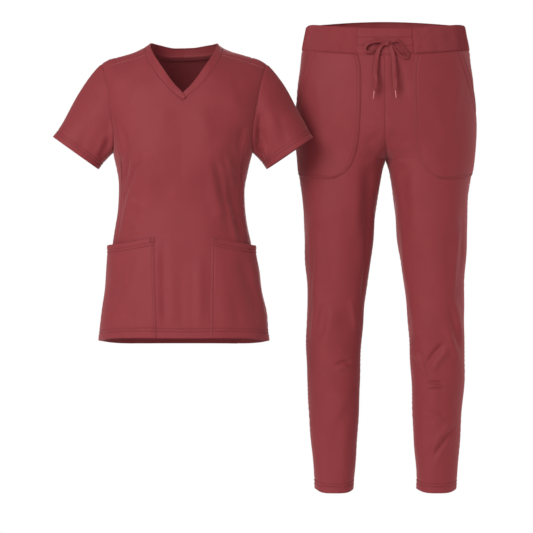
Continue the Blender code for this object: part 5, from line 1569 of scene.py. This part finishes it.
def trouser_pocket_cloth(points, normal, gape, caught, sewn, free):
    """The finished pocket in its place and its outward normals: one layer above the front, rolled
    in at its sewn edges and the waistband, gaping and faced at the mouth, and sunk into the side
    seam as far as it is caught there."""
    away = edge_distances(points)
    way = np.minimum(away[sewn], away["low"])
    form = trouser_relief(points, True) + trouser_drift(points)
    form = form + creases(points[..., 0], points[..., 2], TROUSER_POCKET_FOLDS)
    form = form + LAYER + CLOTH_THICK + gape + patch_edge(way, TROUSER_POCKET_ROW)
    form = form + mouth_form(away[free]) * (1 - caught) + caught_edge(away[free]) * caught
    form = form - 0.0014 * bell(away["high"], 0.0022)
    return points + normal * form[..., None] + TROUSERS_PLACE, normal


pocket_rows = crowded(76, ends=8, near=0.045)
facing_edge = 1 - (MOUTH_STITCHES[1] + np.arange(-2, 3) * 0.0008) / 0.105
pocket_columns = crowded(36, ends=8, near=0.08, stops=tuple(facing_edge))
caught = np.clip((0.50 - pocket_rows) / 0.05, 0, 1)[:, None]
opening = np.sin(np.clip(pocket_rows * 2 - 1, 0, 1) * math.pi)[:, None]
gape = TROUSER_POCKET_GAPE * pocket_columns[None, :] ** 3 * opening
right_pocket = trouser_pocket_grid(pocket_columns, pocket_rows)
left_pocket = tuple(map(mirrored, right_pocket))
trouser_pockets = {
    "right": trouser_pocket_cloth(*right_pocket, gape, caught, "left", "right"),
    "left": trouser_pocket_cloth(*left_pocket, gape[:, ::-1], caught, "right", "left"),
}
for side, pocket in trouser_pockets.items():
    piece = cut_piece("trouser_pocket_" + side, *pocket, scrub_cloth)
    sewn_sheet(piece, "trousers_pocket_" + side, pocket[0])

# ----------------------------------------------------------------------
# The drawstring: a soft flat cord that comes out of the channel and is tied in a bow. Both free
# ends are pressed into short smooth plastic tips.
# ----------------------------------------------------------------------
CORD_WIDTH = 0.0090
CORD_THICK = 0.0016
TIP_RADIUS = 0.0014
TIP_LENGTH = 0.0170
KNOT = (0.0012, 0.0060)
KNOT_SIZE = (0.0066, 0.0050, 0.0064)
KNOT_LEAN = -0.55
TAIL_STAND = 0.0030
LOOP_STAND = 0.0046
TAIL_HANG = 0.0105
TURN_SCALE = 20
# across from the trousers' centre, height, how far the tape is turned on its edge in degrees:
# the bow's two loops and two hanging ends
LOOP_LEFT = (
    (-0.0005, 0.0064, 20), (-0.0070, 0.0092, 30), (-0.0150, 0.0102, 36), (-0.0268, 0.0097, 38),
    (-0.0391, 0.0068, 36), (-0.0466, 0.0005, 38), (-0.0488, -0.0066, 42), (-0.0456, -0.0130, 44),
    (-0.0384, -0.0146, 46), (-0.0290, -0.0112, 46), (-0.0200, -0.0042, 42), (-0.0135, 0.0022, 36),
    (-0.0062, 0.0056, 28), (-0.0010, 0.0062, 20),
)
LOOP_RIGHT = (
    (0.0025, 0.0060, -14), (0.0080, 0.0085, -26), (0.0150, 0.0113, -34), (0.0222, 0.0122, -38),
    (0.0282, 0.0078, -40), (0.0350, -0.0008, -42), (0.0418, -0.0095, -44), (0.0468, -0.0180, -46),
    (0.0448, -0.0256, -46), (0.0368, -0.0268, -46), (0.0280, -0.0218, -46), (0.0200, -0.0128, -44),
    (0.0130, -0.0032, -38), (0.0065, 0.0034, -26), (0.0025, 0.0056, -14),
)
TAIL_LEFT = (
    (-0.0020, 0.0052, 10), (-0.0102, 0.0024, 16), (-0.0178, -0.0080, 12), (-0.0222, -0.0235, 4),
    (-0.0240, -0.0400, -4), (-0.0256, -0.0590, 6), (-0.0250, -0.0745, 38), (-0.0262, -0.0862, 58),
    (-0.0282, -0.0968, 24),
)
TAIL_RIGHT = (
    (0.0030, 0.0050, 12), (0.0060, 0.0006, 22), (0.0112, -0.0140, 12), (0.0144, -0.0290, 0),
    (0.0152, -0.0470, 4), (0.0160, -0.0650, -6), (0.0170, -0.0830, 10), (0.0173, -0.0952, 16),
)
CORD_DYE = (0.176, 0.0190, 0.0240, 1.0)
CORD_SHADE = (0.128, 0.0126, 0.0162, 1.0)
cord_cloth = dyed_cloth("flat cord", CORD_DYE, CORD_SHADE, "DIAGONAL", 0.0013, 0.0002)


def clouded_plastic(name, first, second):
    """Smooth plastic that reads the piece's own map: a fine noise mixes its two tints."""
    material = bpy.data.materials.new(name)
    material.use_nodes = True
    tree = material.node_tree
    shader = tree.nodes["Principled BSDF"]
    shader.inputs["Roughness"].default_value = 0.30
    shader.inputs["Coat Weight"].default_value = 0.25
    shader.inputs["Subsurface Weight"].default_value = 0.0
    cloudy = node(tree, "ShaderNodeTexNoise", Scale=240.0, Detail=2.0)
    tint = node(tree, "ShaderNodeMix", data_type="RGBA")
    tint.inputs["A"].default_value = first
    tint.inputs["B"].default_value = second
    spot = node(tree, "ShaderNodeUVMap", uv_map="cut")
    tree.links.new(spot.outputs["UV"], cloudy.inputs["Vector"])
    tree.links.new(cloudy.outputs["Fac"], tint.inputs["Factor"])
    tree.links.new(tint.outputs["Result"], shader.inputs["Base Color"])
    return material


tip_plastic = clouded_plastic("rose plastic", (0.30, 0.085, 0.095, 1.0), (0.38, 0.13, 0.14, 1.0))


def front_depth(x, z):
    """How far forward the front of the hip or the waistband lies, above the rise."""
    share = np.arcsin(np.clip(np.abs(x) / section(TROUSER_SECTIONS, 1, z), 0, 1)) * 2 / math.pi
    return trouser_surface(share, z, True)[..., 1]


def cord_path(table, rows, stand, hang=0.0):
    """The middle of a length of cord and how far it is turned on its edge: its table's curve,
    lifted off the cloth so far that its lower edge stays clear, and more towards a hanging end.
    The turn runs along the same curve, brought down to the size of the places."""
    share = np.linspace(0, 1, rows)
    line = along([(x, z, math.radians(turned) / TURN_SCALE) for x, z, turned in table], share)
    turned = line[:, 2] * TURN_SCALE
    middle = np.clip(2.2 * np.minimum(share, 1 - share), 0, 1)
    clear = CORD_WIDTH / 2 * np.abs(np.sin(turned)) + CORD_THICK / 2 + 0.0006
    lift = np.maximum(clear, stand * (1 - middle) + 0.0006 * middle)
    y = front_depth(line[:, 0], line[:, 1]) - lift - hang * (1 - (1 - share) ** 2)
    return np.stack([line[:, 0], y, line[:, 1]], 1), turned


def flat_cord(path, turned, shrink):
    """A flat tube along a path: rounded oval sections, whose width lies across the path and is
    turned out of the plane of the front by the given angles. It is pinched shut at both ends."""
    way = unit(np.gradient(path, axis=0) * np.array([1.0, 0.0, 1.0]))
    flat = np.stack([-way[:, 2], 0 * way[:, 0], way[:, 0]], 1)
    front = np.array([0.0, -1.0, 0.0])
    cosine, sine = np.cos(turned)[:, None], np.sin(turned)[:, None]
    across, out = cosine * flat + sine * front, cosine * front - sine * flat
    turn = np.linspace(0, 2 * math.pi, 21)[:-1]
    wide = np.sign(np.cos(turn)) * np.abs(np.cos(turn)) ** 0.8 * CORD_WIDTH / 2
    thick = np.sign(np.sin(turn)) * np.abs(np.sin(turn)) ** 0.8 * CORD_THICK / 2
    run = np.linspace(0, 1, len(path))
    cup = 0.0006 * np.sin(run * 9)[:, None] * (wide / CORD_WIDTH * 2) ** 2
    points = path[:, None] + across[:, None] * (wide * shrink[:, None])[..., None]
    points = points + out[:, None] * ((thick + cup) / np.sqrt(shrink[:, None]))[..., None]
    ends = [np.repeat(path[end][None, None], len(turn), 1) for end in (0, -1)]
    return np.vstack([ends[0], points, ends[1]]) + TROUSERS_PLACE


def egg(centre, size, rows, columns, form):
    """A closed rounded form: a ball of the given half sizes, whose radius is scaled by form at
    each place."""
    up = np.linspace(-0.5, 0.5, rows)[:, None] * math.pi
    turn = np.linspace(0, 2 * math.pi, columns + 1)[None, :-1]
    wide = np.cos(up)
    ball = np.stack([wide * np.cos(turn), wide * np.sin(turn), np.sin(up) + 0 * turn], -1)
    return centre + ball * form(ball)[..., None] * np.array(size), ball


def knot_form(ball):
    """The wraps of the knot: slanting grooves across the front, as bells of the distance from
    each one's line, and a pinch where the loops leave it."""
    slant = math.cos(KNOT_LEAN) * ball[..., 0] - math.sin(KNOT_LEAN) * ball[..., 2]
    cross = math.cos(KNOT_LEAN) * ball[..., 2] + math.sin(KNOT_LEAN) * ball[..., 0]
    form = 1.0 + 0.05 * np.sin(5.0 * cross + 1.0)
    for line, deep in ((-0.66, 0.14), (-0.30, 0.10), (0.08, 0.17), (0.46, 0.12), (0.78, 0.10)):
        form = form - deep * bell(slant - line - 0.08 * cross**2, 0.075)
    return form - 0.12 * bell(ball[..., 2], 0.30) * ball[..., 0] ** 2


def tip_tube(top, lean):
    """A tip and its outward normals: rings down a leaning axis, whose radius falls by a fifth, is
    rounded at both ends by quarter circles and has a shallow crimp near the top."""
    down = np.linspace(0, 1, 40)
    ease = np.minimum(np.minimum(down, 1 - down) * TIP_LENGTH / 0.0011, 1)
    radius = TIP_RADIUS * (1 - 0.22 * down) * np.sqrt(np.maximum(1 - (1 - ease) ** 2, 0.0))
    radius = radius * (1 - 0.07 * bell(down - 0.16, 0.03))
    turn = np.linspace(0, 2 * math.pi, 21)[:-1]
    axis = top + down[:, None] * TIP_LENGTH * np.array([lean, 0.0, -1.0])
    ring = np.stack([np.cos(turn), np.sin(turn), 0 * turn], 1)
    tube = axis[:, None] + radius[:, None, None] * ring[None]
    return tube, np.broadcast_to(ring, tube.shape)


def cord_piece(name, cad_node, path, turned, shrink):
    """A stretch of the cord as a piece that stands for its CAD node."""
    tube = flat_cord(path, turned, shrink)
    facing = tube - tube.mean(axis=1, keepdims=True)
    piece = cut_piece(name, tube, facing, cord_cloth, thick=0, closed=True)
    belongs(piece, "cord", cad_node)
    return piece


def free_cord(path):
    """Works out the length of a stretch of cord along its middle line, which is not used."""
    float(run_along(path)[-1])


knot_depth = front_depth(np.array(KNOT[0]), np.array(KNOT[1])) - KNOT_SIZE[1] - 0.0010
knot_centre = np.array([KNOT[0], knot_depth, KNOT[1]]) + TROUSERS_PLACE
points, ball = egg(knot_centre, KNOT_SIZE, 48, 64, knot_form)
piece = cut_piece("bow_knot", points, ball, cord_cloth, thick=0, closed=True)
belongs(piece, "cord", "drawstring_knot")

for side, table in (("left", LOOP_LEFT), ("right", LOOP_RIGHT)):
    path, turned = cord_path(table, 96, LOOP_STAND)
    end = np.minimum(np.arange(96), np.arange(96)[::-1])
    shrink = 0.66 + 0.34 * np.clip(end / 16, 0, 1)
    piece = cord_piece("bow_loop_" + side, "drawstring_loop_" + side, path, turned, shrink)
    free_cord(path)

for side, table, lean in (("left", TAIL_LEFT, -0.12), ("right", TAIL_RIGHT, 0.09)):
    path, turned = cord_path(table, 72, TAIL_STAND, TAIL_HANG)
    shrink = 0.70 + 0.30 * np.clip(np.arange(72) / 14, 0, 1)
    shrink = shrink - 0.52 * np.clip((np.arange(72) - 62) / 9, 0, 1) ** 2
    piece = cord_piece("bow_end_" + side, "drawstring_tail_" + side, path, turned, shrink)
    tip_top = np.array([table[-1][0], path[-1, 1], table[-1][1] - SEAM_GAP]) + TROUSERS_PLACE
    tip = cut_piece("cord_tip_" + side, *tip_tube(tip_top, lean), tip_plastic, thick=0, closed=True)
    belongs(tip, "cord_tip", "drawstring_tip_" + side)
    free_cord(path)

# ----------------------------------------------------------------------
# The trousers' stitching, of the same thread: the leg hems, both rows round each pocket and along
# its mouth, and the cord's channel in the waistband's insert.
# ----------------------------------------------------------------------
# two short upright rows on the insert: distance from its left end, and the shares of its height
# between which each runs
UPRIGHT_ROWS = ((0.0332, 0.62, 0.98), (0.0899, 0.80, 0.98))
for side, sewn, free in (("left", "right", "left"), ("right", "left", "right")):
    hems = [double_rows(trouser_panels[part, side], "low", LEG_HEM_FOLD)
            for part in ("front", "back")]
    stitched("leg_hem_stitches_" + side, hems[0] + hems[1])
    pocket = trouser_pockets[side]
    rows = double_rows(pocket, sewn, TROUSER_POCKET_ROW, PATCH_ROW_GAP)
    rows += double_rows(pocket, "low", TROUSER_POCKET_ROW, PATCH_ROW_GAP)
    rows += [stitch_row(pocket, free, way, 0.5) for way in MOUTH_STITCHES]
    stitched("trouser_pocket_stitches_" + side, rows)
rows = [stitch_row(insert, "low", way) for way in CHANNEL]
rows += [stitch_row(insert, "left", *upright) for upright in UPRIGHT_ROWS]
stitched("channel_stitches", rows)

# ----------------------------------------------------------------------
# The studio: a plain pale floor well below the hanging garments and white all round. A wide soft
# key light stands at the upper left, a weak fill and a weak rim light at the right, a light behind,
# and the camera straight in front.
# ----------------------------------------------------------------------
LIT_POINT = (0.18, 0.0, -0.45)
# name, place, size, power, colour
LIGHTS = (
    ("key_light", (-1.9, -3.1, 1.35), 2.4, 188.0, (0.95, 1.0, 1.0)),
    ("fill_light", (1.5, -3.7, 0.1), 2.4, 36.0, (1.0, 0.92, 0.92)),
    ("rim_light", (3.2, 0.9, 0.2), 1.6, 35.0, (1.0, 0.80, 0.80)),
    ("rear_light", (0.4, 3.1, 0.5), 2.0, 75.0, (1.0, 1.0, 1.0)),
)
FLOOR_HEIGHT = -1.25
FLOOR_CORNERS = ((-2.4, -2.4), (2.8, -2.4), (2.8, 2.7), (-2.4, 2.7))
for name, place, size, power, colour in LIGHTS:
    light = bpy.data.lights.new(name, "AREA")
    light.color = colour
    light.size = size
    light.energy = power
    lamp = bpy.data.objects.new(name, light)
    bpy.context.scene.collection.objects.link(lamp)
    x, y, z = np.array(LIT_POINT) - np.array(place)
    lamp.location = place
    lamp.rotation_euler = (math.atan2(math.hypot(x, y), -z), 0, math.atan2(y, x) - math.pi / 2)

# The backdrop is plain white where it is seen, and a soft pink as a light, as from the cloth.
world = bpy.data.worlds.new("studio")
bpy.context.scene.world = world
world.use_nodes = True
tree = world.node_tree
seen = tree.nodes["Background"]
seen.inputs["Color"].default_value = (1.0, 1.0, 1.0, 1.0)
soft = node(tree, "ShaderNodeBackground", Color=(1.0, 0.78, 0.78, 1.0), Strength=0.40)
either = node(tree, "ShaderNodeMixShader")
tree.links.new(node(tree, "ShaderNodeLightPath").outputs["Is Camera Ray"], either.inputs[0])
tree.links.new(soft.outputs["Background"], either.inputs[1])
tree.links.new(seen.outputs["Background"], either.inputs[2])
tree.links.new(either.outputs["Shader"], tree.nodes["World Output"].inputs["Surface"])

floor_mesh = bpy.data.meshes.new("floor")
floor_mesh.from_pydata([(x, y, FLOOR_HEIGHT) for x, y in FLOOR_CORNERS], [], [(0, 1, 2, 3)])
floor = bpy.data.objects.new("floor", floor_mesh)
bpy.context.scene.collection.objects.link(floor)
pale = bpy.data.materials.new("pale_floor")
pale.use_nodes = True
shader = pale.node_tree.nodes["Principled BSDF"]
shader.inputs["Base Color"].default_value = (0.95, 0.95, 0.95, 1)
shader.inputs["Roughness"].default_value = 0.9
floor_mesh.materials.append(pale)

CAMERA_DISTANCE = 8.0
FRAME_WIDTH = 1.14595
camera = bpy.data.cameras.new("camera")
camera_object = bpy.data.objects.new("camera", camera)
bpy.context.scene.collection.objects.link(camera_object)
camera_object.location = (0.1774, -CAMERA_DISTANCE, -0.4741)
camera_object.rotation_euler = (math.pi / 2, 0, 0)
camera.sensor_width = 36.0
camera.lens = CAMERA_DISTANCE / FRAME_WIDTH * camera.sensor_width
camera.clip_end = 100.0
bpy.context.scene.camera = camera_object
bpy.context.scene.view_settings.view_transform = "Standard"
